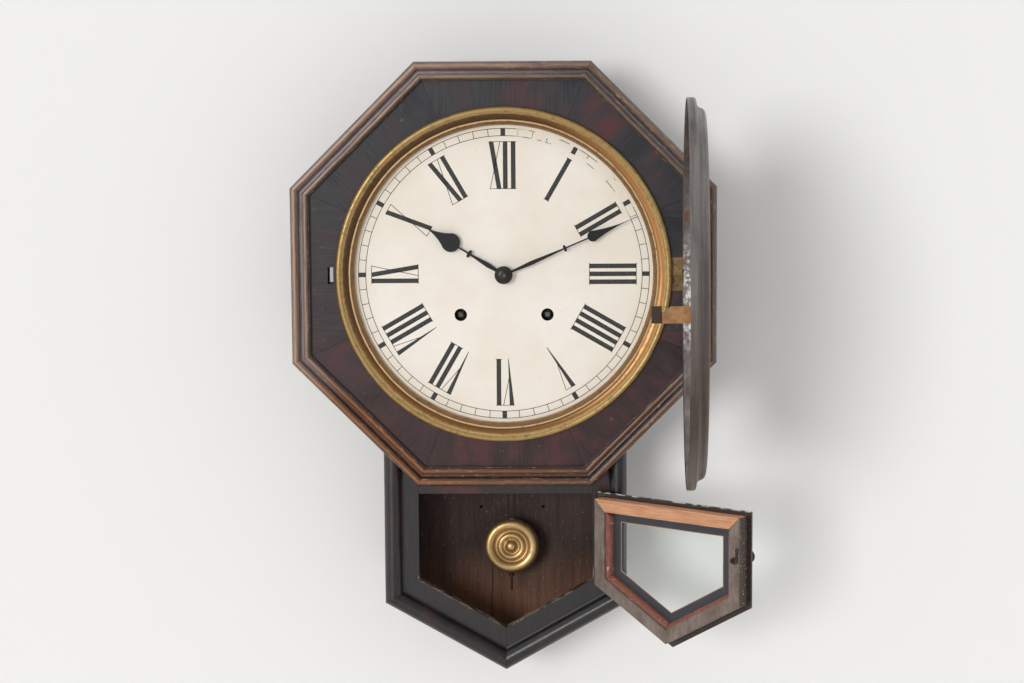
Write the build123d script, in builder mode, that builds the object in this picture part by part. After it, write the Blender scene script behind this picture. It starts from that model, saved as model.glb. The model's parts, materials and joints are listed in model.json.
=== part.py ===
from build123d import *
from math import cos, hypot, pi, radians, sin, tan
import os

os.makedirs("parts", exist_ok=True)

# Octagonal drop wall clock, sizes in millimetres.
# +X is to the right of a person who faces the dial, +Y goes into the wall and +Z is up.
# The origin lies on the wall plane, straight behind the middle of the dial.
# Depths are measured forward from the wall, so a point at depth d has Y = -d.

# Stored pose: both glazed doors stand open and the hands show about ten past ten
bezel_open = 88.6
door_open = 142.9
minute_angle = 66.6
hour_angle = 301.6

# Fits
board_gap = 0.2
running_fit = 0.05
close_fit = 0.03

# Box behind the dial and the drop
back_board_t = 10.0
box_depth = 80.0
box_half_width = 118.0
box_wall = 12.0
box_top = 150.0
drop_angle = 29.5
moulding_half_width = 125.0
drop_below_head = 196.5

# Octagonal head
octagon_margin = 32.0
head_board_t = 25.0
veneer_t = 1.0
head_moulding_w = 19.0
head_moulding_cover = 8.0
head_moulding_h = 10.0
dial_opening_r = 148.0
dial_seat_w = 11.0
dial_seat_drop = 8.0

# Dial and its gilt surround
dial_t = 1.2
dial_edge_gap = 0.6
dial_centre_hole_r = 6.0
ring_w = 19.0
ring_lap = 4.0
ring_h = 7.0
tack_r = 0.8
tack_from_seat = 3.5
tack_count = 4

# Flat frame and mouldings of the drop
trunk_frame_t = 12.0
opening_half_width = 90.0
top_rail_w = 12.0
opening_bottom_w = 43.0
trunk_moulding_w = 19.0
trunk_moulding_h = 11.0

# Bezel
bezel_margin = 13.0
bezel_flange = 21.0
bezel_h = 17.5
bezel_gap = 1.4
bezel_wall = 1.6
bezel_glass_t = 2.0
bezel_hinge_out = 4.6
bezel_hinge_height = 8.9
bezel_barrel_r = 2.2
bezel_pin_r = 1.1
bezel_hinge_half = 17.0
bezel_knuckle_half = 6.0
leaf_t = 0.8
catch_inset = 8.8
catch_t = 0.8
catch_height = 15.0
catch_reach = 34.0
catch_slot_w = 5.8
catch_slot_h = 17.4

# Lower door
door_side_gap = 1.4
door_top_gap = 1.0
door_bottom_gap = 1.5
door_frame_t = 13.0
door_rail_w = 12.5
door_lip = 5.0
door_lip_t = 5.0
door_lip_gap = 1.0
door_moulding_w = 27.0
door_glass_t = 2.4
slip_w = 5.0
door_hinge_out = 6.3
door_barrel_r = 2.2
door_pin_r = 1.0
door_hinge_half = 10.0
door_knuckle_half = 3.7
door_hinge_drops = (18.0, 76.0)
door_leaf_reach = 7.7
latch_inset = 7.8
latch_drop = 44.0
latch_shaft_r = 2.0
latch_knob_r = 6.8
latch_knob_h = 13.0
latch_hook_reach = 12.5

# Movement
movement_inset = 34.0
plate_t = 2.0
plate_spacing = 36.0
plate_half_width = 68.0
plate_top = 62.0
plate_bottom = -80.0
pillar_r = 3.0
foot_r = 4.0
arbor_r = 1.5
centre_arbor_r = 1.6
winding_x = 44.3
winding_z = -41.5
winding_arbor_r = 3.0
winding_square = 4.6
winding_hole_r = 6.4
mainspring_w = 17.0
mainspring_t = 0.9
mainspring_pitch = 3.6
mainspring_inner_r = 5.0
mainspring_half_turns = 14
fly_reach = 13.0

# Hands
minute_reach = 148.0
hour_reach = 103.0
hand_t = 1.0
cannon_r = 2.6
hour_pipe_wall = 1.0
nut_r = 9.2
nut_h = 4.4

# Pendulum
pendulum_x = 4.5
pendulum_behind = 10.0
swing_z = 50.0
bob_drop = 66.5
bob_r = 29.0
bob_back_t = 5.0
bob_front_t = 7.0
rod_r = 1.2
rod_end_drop = 47.5
stirrup_top_rise = 59.9
stirrup_low_rise = 24.5
stirrup_half = 3.4
stirrup_wire_r = 0.7
screw_rod_r = 1.1
rating_nut_r = 2.8
spring_strip_t = 0.25
spring_strip_w = 6.6

# Gong and hammer
gong_x = -52.0
gong_z = -140.0
gong_inner_r = 8.0
gong_pitch = 5.6
gong_half_turns = 10
gong_wire = 2.2
hammer_x = -8.0
hammer_z = -56.0
hammer_gap = 2.3

# Hanger
hanger_w = 36.0
hanger_t = 2.5
hanger_bottom = 108.0
hanger_top = 186.0
hanger_hole_z = 170.0
hanger_hole_r = 4.0

# Places that follow from the sizes above
dial_seat_r = dial_opening_r + dial_seat_w
dial_r = dial_seat_r - dial_edge_gap
tack_circle_r = dial_seat_r - tack_from_seat
ring_inner_r = dial_opening_r + ring_lap
ring_outer_r = ring_inner_r + ring_w
bezel_r = ring_outer_r + bezel_margin
bezel_sight_r = bezel_r - bezel_flange
bezel_hinge_x = bezel_r + bezel_hinge_out
catch_r = bezel_r - catch_inset
octagon_half = bezel_r + octagon_margin
moulding_apex = -octagon_half - drop_below_head
opening_top = -octagon_half - top_rail_w
opening_apex = moulding_apex + opening_bottom_w
door_hinge_x = opening_half_width + door_hinge_out
door_hinge_leaf_reach = door_hinge_x + door_leaf_reach
door_hinge_heights = [opening_top - drop for drop in door_hinge_drops]
latch_x = latch_inset - opening_half_width
latch_z = opening_top - latch_drop
plate_back = box_depth - movement_inset
pendulum_depth = plate_back - pendulum_behind
bob_z = opening_top - bob_drop
rod_end_z = bob_z - rod_end_drop
stirrup_top_z = bob_z + stirrup_top_rise
stirrup_low_z = bob_z + stirrup_low_rise
head_front = box_depth + head_board_t
veneer_front = head_front + veneer_t
moulding_front = veneer_front + head_moulding_h
dial_seat = head_front - dial_seat_drop
dial_front = dial_seat + dial_t
trunk_frame_front = box_depth + trunk_frame_t
opening_inset = moulding_half_width - opening_half_width
bezel_back = veneer_front + bezel_gap
bezel_front = bezel_back + bezel_h
bezel_axis_depth = veneer_front + bezel_hinge_height
door_lip_back = trunk_frame_front + door_lip_gap
door_front = door_lip_back + door_lip_t
door_back = door_lip_back - door_frame_t
door_axis_depth = door_front + 0.3
door_half_width = opening_half_width - door_side_gap
door_top = opening_top - door_top_gap
door_apex = opening_apex + door_bottom_gap
plate_front = plate_back + plate_t + plate_spacing
movement_front = plate_front + plate_t
slope = radians(drop_angle)
bezel_axis = Axis((bezel_hinge_x, -bezel_axis_depth, 0), (0, 0, 1))
door_axis = Axis((door_hinge_x, -door_axis_depth, 0), (0, 0, 1))


def octagon(half):
    """Corners of an octagon with flats at this distance, clockwise from the upper left."""
    t = half * tan(pi / 8)
    return [(-t, half), (t, half), (half, t), (half, -t), (t, -half), (-t, -half), (-half, -t), (-half, t)]


def house(half, top, apex):
    """Corners of the five-sided outline of the drop, clockwise from the upper left."""
    low = apex + half * tan(slope)
    return [(-half, top), (half, top), (half, low), (0, apex), (-half, low)]


def drop_outline(inset, top):
    """The drop's outline, this far inside the outer face of its moulding."""
    return house(moulding_half_width - inset, top, moulding_apex + inset / cos(slope))


def door_outline(inset):
    """The outline of the lower door, this far inside the part that enters the opening."""
    return house(door_half_width - inset, door_top - inset, door_apex + inset / cos(slope))


def closed_outline(points):
    with BuildLine() as outline:
        Polyline(*points, close=True)
    make_face(outline.edges())


def profile_plane(x=0.0, z=0.0):
    """Plane whose first axis is the distance from the line x, z and whose second is the depth."""
    return Plane(origin=(x, 0, z), x_dir=(1, 0, 0), z_dir=(0, 0, -1))


def arbor_axis(x=0.0, z=0.0):
    return Axis((x, 0, z), (0, 1, 0))


def rod(x, z, radius, back, front, mode=Mode.ADD):
    """Round bar along the depth."""
    with BuildSketch(Plane.XZ.offset(back)) as section:
        with Locations((x, z)):
            Circle(radius)
    extrude(section.sketch, amount=front - back, mode=mode)


def slab(x_low, x_high, z_low, z_high, back, front, mode=Mode.ADD):
    """Block given by its sides."""
    with BuildSketch(Plane.XZ.offset(back)) as section:
        with Locations(((x_low + x_high) / 2, (z_low + z_high) / 2)):
            Rectangle(x_high - x_low, z_high - z_low)
    extrude(section.sketch, amount=front - back, mode=mode)


def post(x, depth, radius, low, high, mode=Mode.ADD):
    """Round bar that stands upright."""
    with BuildSketch(Plane.XY.offset(low)) as section:
        with Locations((x, -depth)):
            Circle(radius)
    extrude(section.sketch, amount=high - low, mode=mode)


def turned(points, x=0.0, z=0.0, mode=Mode.ADD):
    """Solid of revolution about a line along the depth, from points of radius and depth."""
    with BuildSketch(profile_plane(x, z)) as section:
        closed_outline(points)
    revolve(section.sketch, axis=arbor_axis(x, z), mode=mode)


def mitred_bars(outer, inner, sides, draw_section, front):
    """Straight bars along the sides of an outline, cut to mitres at its corners."""
    bars = []
    for side in sides:
        (ax, az), (bx, bz) = outer[side], outer[(side + 1) % len(outer)]
        (cx, cz), (dx, dz) = inner[side], inner[(side + 1) % len(inner)]
        length = hypot(bx - ax, bz - az)
        ux, uz = (bx - ax) / length, (bz - az) / length
        shift = board_gap / 2
        section_plane = Plane(
            origin=((ax + bx) / 2, 0, (az + bz) / 2),
            x_dir=(uz, 0, -ux),
            z_dir=(-ux, 0, -uz),
        )
        region = [
            (2 * ax - cx + ux * shift, 2 * az - cz + uz * shift),
            (2 * bx - dx - ux * shift, 2 * bz - dz - uz * shift),
            (dx - ux * shift, dz - uz * shift),
            (cx + ux * shift, cz + uz * shift),
        ]
        with BuildPart() as bar:
            with BuildSketch(section_plane):
                draw_section()
            extrude(amount=length, both=True)
            with BuildSketch(Plane.XZ):
                closed_outline(region)
            extrude(amount=front, mode=Mode.INTERSECT)
        bars.append(bar.part)
    return bars


def octagon_wedge(half, side):
    """One of eight mitred sectors of an octagon, with half a glue line off each mitre."""
    apex = board_gap / 2 / sin(pi / 8)
    reach = (half - apex) * tan(pi / 8)
    angle = pi / 2 - side * pi / 4
    out, along = (cos(angle), sin(angle)), (sin(angle), -cos(angle))
    corners = [(apex, 0.0), (half, -reach), (half, reach)]
    return [(out[0] * r + along[0] * s, out[1] * r + along[1] * s) for r, s in corners]


def ring_sector(half, inner_r, side, back, front):
    with BuildPart() as sector:
        with BuildSketch(Plane.XZ.offset(back)):
            closed_outline(octagon_wedge(half, side))
            Circle(inner_r, mode=Mode.SUBTRACT)
        extrude(amount=front - back)
    return sector.part


def cut_octagon(half, back, front):
    with BuildSketch(Plane.XZ.offset(back)) as section:
        closed_outline(octagon(half))
    extrude(section.sketch, amount=front - back, mode=Mode.SUBTRACT)


def countersunk(radius, head_r, head, length, grow=0.0):
    """Half section of a countersunk screw whose head faces the front."""
    point = head - length - grow
    return [
        (0, head),
        (head_r + grow, head),
        (radius + grow, head - (head_r - radius)),
        (radius + grow, point + radius),
        (0, point),
    ]


def tooth_points(x, z, teeth, module, phase):
    """Outline of a toothed wheel. A tooth points along the phase angle, in degrees."""
    points = []
    step = 2 * pi / teeth
    root = module * (teeth / 2 - 1.15)
    tip = module * (teeth / 2 + 0.8)
    for k in range(teeth):
        middle = radians(phase) + k * step
        for offset, radius in ((-0.31, root), (-0.1, tip), (0.1, tip), (0.31, root)):
            angle = middle + offset * step
            points.append((x + radius * cos(angle), z + radius * sin(angle)))
    return points


def toothed(x, z, teeth, module, phase, back, front):
    with BuildSketch(Plane.XZ.offset(back)) as section:
        closed_outline(tooth_points(x, z, teeth, module, phase))
    extrude(section.sketch, amount=front - back)


def crossed_out(x, z, inner_r, outer_r, spokes, spoke_w, back, front):
    """Windows between the spokes of a wheel."""
    with BuildSketch(Plane.XZ.offset(back)) as windows:
        with Locations((x, z)):
            Circle(outer_r)
            Circle(inner_r, mode=Mode.SUBTRACT)
        with Locations((x, z)):
            with PolarLocations(0, spokes):
                Rectangle(outer_r + 1, spoke_w, align=(Align.MIN, Align.CENTER), mode=Mode.SUBTRACT)
    extrude(windows.sketch, amount=front - back, mode=Mode.SUBTRACT)


def spiral(x, z, start_r, pitch, half_turns, end_angle, width):
    """Flat spiral of half circles that grow by half a pitch, as a strip of this width."""
    grow = pitch / 2
    shift = (grow * cos(radians(end_angle)), grow * sin(radians(end_angle)))
    with BuildLine() as path:
        for k in range(half_turns):
            centre = (x, z) if k % 2 == 0 else (x + shift[0], z + shift[1])
            CenterArc(centre, start_r + k * grow, end_angle + 180 * (k % 2), 180)
    trace(path.edges(), line_width=width)


# Back board: pine, nailed behind the box, with a recess for the hanger and two old nail holes
with BuildPart() as back_board:
    with BuildSketch(Plane.XZ):
        closed_outline(drop_outline(moulding_half_width - box_half_width, box_top))
    extrude(amount=back_board_t)
    slab(
        -hanger_w / 2 - board_gap,
        hanger_w / 2 + board_gap,
        hanger_bottom - board_gap,
        box_top,
        0,
        hanger_t + close_fit,
        mode=Mode.SUBTRACT,
    )
    for x in (-28.0, 38.0):
        rod(x, opening_top - 29, 1.8, 0, back_board_t, mode=Mode.SUBTRACT)
back_board.part.label = "back_board"

# Box sides and the two sloping bottom boards, mitred where they meet
box_inset = moulding_half_width - box_half_width


def draw_box_board():
    with Locations((box_wall / 2, (back_board_t + box_depth) / 2)):
        Rectangle(box_wall, box_depth - back_board_t)


box_boards = mitred_bars(
    drop_outline(box_inset, box_top),
    drop_outline(box_inset + box_wall, box_top),
    range(1, 5),
    draw_box_board,
    box_depth,
)
with BuildPart() as case_side_right:
    add(box_boards[0])
case_side_right.part.label = "case_side_right"
export_step(case_side_right.part, "parts/case_side_right.step")
with BuildPart() as case_side_left:
    add(box_boards[3])
case_side_left.part.label = "case_side_left"
export_step(case_side_left.part, "parts/case_side_left.step")
with BuildPart() as case_bottom_boards:
    add(box_boards[1:3])
case_bottom_boards.part.label = "case_bottom_boards"
export_step(case_bottom_boards.part, "parts/case_bottom_boards.step")

inner_half_width = box_half_width - box_wall
with BuildPart() as case_top_board:
    slab(
        board_gap - inner_half_width,
        inner_half_width - board_gap,
        box_top - box_wall,
        box_top,
        back_board_t,
        box_depth,
    )
case_top_board.part.label = "case_top_board"
export_step(case_top_board.part, "parts/case_top_board.step")

# Hanger: brass plate let into the back board, its eye above the box, with two screws
hanger_screw_heights = (hanger_bottom + 9, hanger_bottom + 27)
hanger_screw = countersunk(1.7, 3.3, -0.1, back_board_t - 1.5)
hanger_screw_cut = countersunk(1.7, 3.3, -0.1, back_board_t - 1.5, running_fit)
with BuildPart() as hanger_plate:
    with BuildSketch(Plane.XZ):
        with Locations((0, (hanger_bottom + hanger_top) / 2)):
            RectangleRounded(hanger_w, hanger_top - hanger_bottom, 10)
        with Locations((0, hanger_hole_z)):
            Circle(hanger_hole_r, mode=Mode.SUBTRACT)
    extrude(amount=hanger_t)
    for z in hanger_screw_heights:
        turned([(r, -d) for r, d in hanger_screw_cut], z=z, mode=Mode.SUBTRACT)
hanger_plate.part.label = "hanger_plate"
export_step(hanger_plate.part, "parts/hanger_plate.step")
with BuildPart() as drilled_back_board:
    add(back_board.part)
    for z in hanger_screw_heights:
        turned([(r, -d) for r, d in hanger_screw_cut], z=z, mode=Mode.SUBTRACT)
drilled_back_board.part.label = "back_board"
export_step(drilled_back_board.part, "parts/back_board.step")

# Octagonal head board: eight mitred sectors with the dial opening, the dial's seat and the catch slot
board_half = octagon_half - head_moulding_cover - close_fit
head_sectors = [ring_sector(board_half, dial_opening_r, k, box_depth, head_front) for k in range(8)]
catch_slot_x = -catch_r - 1.2
with BuildPart() as head_board:
    add(head_sectors)
    rod(0, 0, dial_seat_r, dial_seat, head_front, mode=Mode.SUBTRACT)
    slab(
        catch_slot_x - catch_slot_w / 2,
        catch_slot_x + catch_slot_w / 2,
        -catch_slot_h / 2,
        catch_slot_h / 2,
        box_depth,
        head_front,
        mode=Mode.SUBTRACT,
    )
head_board.part.label = "head_board"

# Bezel hinge: fixed leaf let into the veneer, its flange turned up outside the barrel
leaf_inner_x = ring_outer_r - 3.5
leaf_outer_x = bezel_hinge_x + bezel_barrel_r
bezel_screw_x = ring_outer_r + 3.4
bezel_screw_heights = (-12.7, 12.7)
bezel_screw = countersunk(1.4, 2.6, veneer_front - 0.1, 11)
bezel_screw_cut = countersunk(1.4, 2.6, veneer_front - 0.1, 11, running_fit)
with BuildPart() as bezel_hinge_fixed_leaf:
    slab(leaf_inner_x, leaf_outer_x, -bezel_hinge_half, bezel_hinge_half, head_front, veneer_front)
    for sign in (-1, 1):
        low, high = sorted((sign * (bezel_knuckle_half + 0.3), sign * bezel_hinge_half))
        slab(leaf_outer_x - leaf_t, leaf_outer_x, low, high, veneer_front, bezel_axis_depth)
        post(bezel_hinge_x, bezel_axis_depth, bezel_barrel_r, low, high)
    post(
        bezel_hinge_x,
        bezel_axis_depth,
        bezel_pin_r + close_fit,
        -bezel_hinge_half,
        bezel_hinge_half,
        mode=Mode.SUBTRACT,
    )
    for z in bezel_screw_heights:
        turned(bezel_screw_cut, bezel_screw_x, z, mode=Mode.SUBTRACT)
bezel_hinge_fixed_leaf.part.label = "bezel_hinge_fixed_leaf"
export_step(bezel_hinge_fixed_leaf.part, "parts/bezel_hinge_fixed_leaf.step")

with BuildPart() as drilled_head_board:
    add(head_board.part)
    for z in bezel_screw_heights:
        turned(bezel_screw_cut, bezel_screw_x, z, mode=Mode.SUBTRACT)
drilled_head_board.part.label = "head_board"
export_step(drilled_head_board.part, "parts/head_board.step")

# Veneer: eight mitred trapezoids under the moulding and the gilt ring
veneer_half = board_half - board_gap
veneer_sectors = [ring_sector(veneer_half, dial_seat_r + 5, k, head_front, veneer_front) for k in range(8)]
with BuildPart() as head_veneer:
    add(veneer_sectors)
    slab(
        catch_slot_x - catch_slot_w / 2,
        catch_slot_x + catch_slot_w / 2,
        -catch_slot_h / 2,
        catch_slot_h / 2,
        head_front,
        veneer_front,
        mode=Mode.SUBTRACT,
    )
    slab(
        leaf_inner_x - board_gap,
        leaf_outer_x + board_gap,
        -bezel_hinge_half - board_gap,
        bezel_hinge_half + board_gap,
        head_front,
        veneer_front,
        mode=Mode.SUBTRACT,
    )
head_veneer.part.label = "head_veneer"
export_step(head_veneer.part, "parts/head_veneer.step")


def draw_head_moulding():
    """Outer bead, cove and inner ridge, with a skirt over the edge of the head board."""
    w, top = head_moulding_w, moulding_front
    with BuildLine() as section:
        Line((0, box_depth), (0, top - 4.5))
        ThreePointArc((0, top - 4.5), (3.6, top), (8.2, top - 3.2))
        ThreePointArc((8.2, top - 3.2), (10.2, top - 5.2), (12.2, top - 4.8))
        ThreePointArc((12.2, top - 4.8), (15, top - 2.7), (w - 1.2, top - 5.6))
        Line((w - 1.2, top - 5.6), (w, top - 6.4))
        Line((w, top - 6.4), (w, veneer_front))
        Line((w, veneer_front), (head_moulding_cover, veneer_front))
        Line((head_moulding_cover, veneer_front), (head_moulding_cover, box_depth))
        Line((head_moulding_cover, box_depth), (0, box_depth))
    make_face(section.edges())


head_bars = mitred_bars(
    octagon(octagon_half),
    octagon(octagon_half - head_moulding_w),
    range(8),
    draw_head_moulding,
    moulding_front + 1,
)
with BuildPart() as head_moulding:
    add(head_bars)
head_moulding.part.label = "head_moulding"
export_step(head_moulding.part, "parts/head_moulding.step")

# Dial: enamelled metal disc in its seat, with holes for the hands and the two winding squares
with BuildPart() as dial_plate:
    rod(0, 0, dial_r, dial_seat, dial_front)
    rod(0, 0, dial_centre_hole_r, dial_seat, dial_front, mode=Mode.SUBTRACT)
    for x in (-winding_x, winding_x):
        rod(x, winding_z, winding_hole_r, dial_seat, dial_front, mode=Mode.SUBTRACT)
    for k in range(tack_count):
        angle = radians(45 + 360 / tack_count * k)
        rod(
            tack_circle_r * cos(angle),
            tack_circle_r * sin(angle),
            tack_r + running_fit,
            dial_seat,
            dial_front,
            mode=Mode.SUBTRACT,
        )
dial_plate.part.label = "dial_plate"
export_step(dial_plate.part, "parts/dial_plate.step")

# Gilt ring: turned, stepped from an outer bead down through a cove to an inner bead over the dial
with BuildPart() as dial_trim_ring:
    with BuildSketch(profile_plane()):
        with BuildLine():
            edge = (ring_outer_r, veneer_front)
            rise = veneer_front + ring_h
            Polyline(edge, (ring_outer_r, rise - 4.2))
            bead_end = (ring_outer_r - 6.8, rise - 3.2)
            cove_end = (ring_outer_r - 13, rise - 5.9)
            ThreePointArc((ring_outer_r, rise - 4.2), (ring_outer_r - 3.2, rise), bead_end)
            ThreePointArc(bead_end, (ring_outer_r - 9.5, rise - 5.3), cove_end)
            Line(cove_end, (ring_outer_r - 13.4, rise - 5))
            Line((ring_outer_r - 13.4, rise - 5), (ring_outer_r - 14.4, rise - 5))
            lip_end = (ring_inner_r, rise - 12.4)
            ThreePointArc((ring_outer_r - 14.4, rise - 5), (ring_inner_r + 1, rise - 8.2), lip_end)
            Polyline(
                (ring_inner_r, rise - 12.4),
                (ring_inner_r, dial_front + close_fit),
                (dial_seat_r - 1, dial_front + close_fit),
                (dial_seat_r - 1, veneer_front),
                edge,
            )
        make_face()
    revolve(axis=arbor_axis())
    for k in range(tack_count):
        angle = radians(45 + 360 / tack_count * k)
        rod(
            tack_circle_r * cos(angle),
            tack_circle_r * sin(angle),
            tack_r * 2 + running_fit,
            dial_front,
            dial_front + 1.2,
            mode=Mode.SUBTRACT,
        )
dial_trim_ring.part.label = "dial_trim_ring"
export_step(dial_trim_ring.part, "parts/dial_trim_ring.step")
with BuildPart() as dial_tacks:
    for k in range(tack_count):
        angle = radians(45 + 360 / tack_count * k)
        place = (tack_circle_r * cos(angle), tack_circle_r * sin(angle))
        rod(*place, tack_r, dial_seat, dial_front + 1)
        rod(*place, tack_r * 2, dial_front + close_fit, dial_front + 1)
dial_tacks.part.label = "dial_tacks"
export_step(dial_tacks.part, "parts/dial_tacks.step")

# Flat frame round the door opening of the drop: two stiles, two lower rails and a top rail
frame_outer = drop_outline(box_inset, box_top)
frame_inner = house(opening_half_width, box_top, opening_apex)


def draw_trunk_frame():
    with Locations((opening_inset / 2, box_depth + trunk_frame_t / 2)):
        Rectangle(opening_inset + 10, trunk_frame_t)


trunk_bars = mitred_bars(frame_outer, frame_inner, range(1, 5), draw_trunk_frame, trunk_frame_front)
under_head = octagon_half + board_gap
with BuildPart() as trunk_frame_solids:
    add(trunk_bars)
    with BuildSketch(Plane.XZ.offset(box_depth)):
        closed_outline(frame_outer)
    extrude(amount=trunk_frame_t, mode=Mode.INTERSECT)
    with BuildSketch(Plane.XZ.offset(box_depth)):
        closed_outline(frame_inner)
    extrude(amount=trunk_frame_t, mode=Mode.SUBTRACT)
    cut_octagon(under_head, box_depth, trunk_frame_front)
with BuildPart() as trunk_front_frame:
    add(trunk_frame_solids.part)
    slab(
        board_gap - opening_half_width,
        opening_half_width - board_gap,
        opening_top,
        -under_head,
        box_depth,
        trunk_frame_front,
    )


def draw_trunk_moulding():
    """Rounded moulding on the flat frame, with a skirt down the side of the box."""
    w, top = trunk_moulding_w, trunk_frame_front + trunk_moulding_h
    with BuildLine() as section:
        Line((0, box_depth), (0, top - 6))
        ThreePointArc((0, top - 6), (6.2, top), (w - 1, trunk_frame_front + 1.6))
        Line((w - 1, trunk_frame_front + 1.6), (w, trunk_frame_front + 1.2))
        Line((w, trunk_frame_front + 1.2), (w, trunk_frame_front))
        Line((w, trunk_frame_front), (box_inset, trunk_frame_front))
        Line((box_inset, trunk_frame_front), (box_inset, box_depth))
        Line((box_inset, box_depth), (0, box_depth))
    make_face(section.edges())


trunk_moulding_bars = mitred_bars(
    drop_outline(0, box_top),
    drop_outline(trunk_moulding_w, box_top),
    range(1, 5),
    draw_trunk_moulding,
    trunk_frame_front + trunk_moulding_h + 1,
)
with BuildPart() as trunk_moulding:
    add(trunk_moulding_bars)
    cut_octagon(under_head, box_depth, trunk_frame_front + trunk_moulding_h + 1)
trunk_moulding.part.label = "trunk_moulding"
export_step(trunk_moulding.part, "parts/trunk_moulding.step")

# Bezel: spun metal ring, drawn shut and then swung open about its hinge
step_depth = bezel_back + 6.1
sight_depth = bezel_front - bezel_wall
with BuildPart() as bezel_rim:
    with BuildSketch(profile_plane()):
        with BuildLine():
            outer_r, sight_r = bezel_r, bezel_sight_r
            inner_r = bezel_r - bezel_wall
            Line((outer_r, bezel_back), (outer_r, step_depth))
            ThreePointArc(
                (outer_r, step_depth),
                (outer_r - 1, step_depth + 1.8),
                (outer_r - 3, step_depth + 2.4),
            )
            Line((outer_r - 3, step_depth + 2.4), (outer_r - 5.5, step_depth + 2.7))
            ThreePointArc(
                (outer_r - 5.5, step_depth + 2.7),
                (outer_r - 8.2, step_depth + 4),
                (outer_r - 9.8, step_depth + 6.4),
            )
            ThreePointArc(
                (outer_r - 9.8, step_depth + 6.4),
                (outer_r - 12, bezel_front - 1.4),
                (outer_r - 16, bezel_front),
            )
            Polyline(
                (outer_r - 16, bezel_front),
                (sight_r, bezel_front),
                (sight_r, sight_depth),
                (outer_r - 16.4, sight_depth),
                (outer_r - 11.4, step_depth + 5.2),
                (outer_r - 7.2, step_depth + 1.4),
                (outer_r - 3.2, step_depth + 0.6),
                (inner_r, step_depth - 1.2),
                (inner_r, bezel_back),
                (outer_r, bezel_back),
            )
        make_face()
    revolve(axis=arbor_axis())
bezel_rim.part = bezel_rim.part.rotate(bezel_axis, bezel_open)
bezel_rim.part.label = "bezel_rim"
export_step(bezel_rim.part, "parts/bezel_rim.step")

bezel_glass_r = bezel_r - 17.2
glass_back = sight_depth - close_fit - bezel_glass_t
with BuildPart() as bezel_glass:
    rod(0, 0, bezel_glass_r, glass_back, glass_back + bezel_glass_t)
bezel_glass.part = bezel_glass.part.rotate(bezel_axis, bezel_open)
bezel_glass.part.label = "bezel_glass"
export_step(bezel_glass.part, "parts/bezel_glass.step")

# Plaster bed that holds the glass and fills the back of the bezel, slotted for the catch
putty_inner_r = ring_outer_r + 2
with BuildPart() as bezel_putty:
    turned(
        [
            (putty_inner_r, bezel_back + 0.8),
            (bezel_r - bezel_wall - close_fit, bezel_back + 0.8),
            (bezel_r - bezel_wall - close_fit, step_depth - 1.6),
            (bezel_r - 3.5, step_depth),
            (bezel_r - 7.5, step_depth + 0.9),
            (bezel_r - 11.8, step_depth + 4.8),
            (bezel_r - 15.2, glass_back - close_fit),
            (bezel_sight_r + 2, glass_back - close_fit),
            (putty_inner_r, step_depth - 0.6),
        ]
    )
    slab(
        -catch_r - 1.4,
        -putty_inner_r + 1,
        -catch_height / 2 - 0.5,
        catch_height / 2 + 0.5,
        bezel_back,
        step_depth + 0.2,
        mode=Mode.SUBTRACT,
    )
bezel_putty.part = bezel_putty.part.rotate(bezel_axis, bezel_open)
bezel_putty.part.label = "bezel_putty"
export_step(bezel_putty.part, "parts/bezel_putty.step")

# Copper catch: spring strip with one corner cut and a folded end, which snaps into the head's slot
catch_half = catch_height / 2
catch_tip = bezel_back - catch_reach
with BuildPart() as bezel_catch:
    with BuildSketch(Plane.YZ.offset(-catch_r - catch_t / 2)):
        closed_outline(
            [
                (-step_depth, -catch_half),
                (-step_depth, catch_half),
                (-catch_tip - 17, catch_half),
                (-catch_tip - 10, catch_half * 0.3),
                (-catch_tip - 4, catch_half * 0.3),
                (-catch_tip - 4, -catch_half),
            ]
        )
    extrude(amount=catch_t)
    slab(-catch_r - 1.1, -catch_r + 1.1, -catch_half, catch_half, catch_tip, catch_tip + 9)
bezel_catch.part = bezel_catch.part.rotate(bezel_axis, bezel_open)
bezel_catch.part.label = "bezel_catch"
export_step(bezel_catch.part, "parts/bezel_catch.step")

# Moving leaf: soldered to the back of the bezel's rim, with a strap to the middle knuckle
strap_x = bezel_r + 0.7
strap_half = bezel_knuckle_half
with BuildPart() as bezel_hinge_moving_leaf:
    slab(putty_inner_r + 2, strap_x + leaf_t, -strap_half, strap_half, bezel_back - leaf_t, bezel_back)
    slab(strap_x, strap_x + leaf_t, -strap_half, strap_half, bezel_back, bezel_axis_depth + leaf_t)
    slab(
        strap_x,
        bezel_hinge_x - bezel_pin_r,
        -strap_half,
        strap_half,
        bezel_axis_depth - leaf_t,
        bezel_axis_depth + leaf_t,
    )
    post(bezel_hinge_x, bezel_axis_depth, bezel_barrel_r, -strap_half, strap_half)
    post(
        bezel_hinge_x,
        bezel_axis_depth,
        bezel_pin_r + running_fit,
        -strap_half,
        strap_half,
        mode=Mode.SUBTRACT,
    )
bezel_hinge_moving_leaf.part = bezel_hinge_moving_leaf.part.rotate(bezel_axis, bezel_open)
bezel_hinge_moving_leaf.part.label = "bezel_hinge_moving_leaf"
export_step(bezel_hinge_moving_leaf.part, "parts/bezel_hinge_moving_leaf.step")


# Lower door, drawn shut: back frame that enters the opening, and a front moulding that laps over it
def draw_door_rail():
    with Locations((door_rail_w / 2, door_back + door_frame_t / 2)):
        Rectangle(door_rail_w, door_frame_t)


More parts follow.
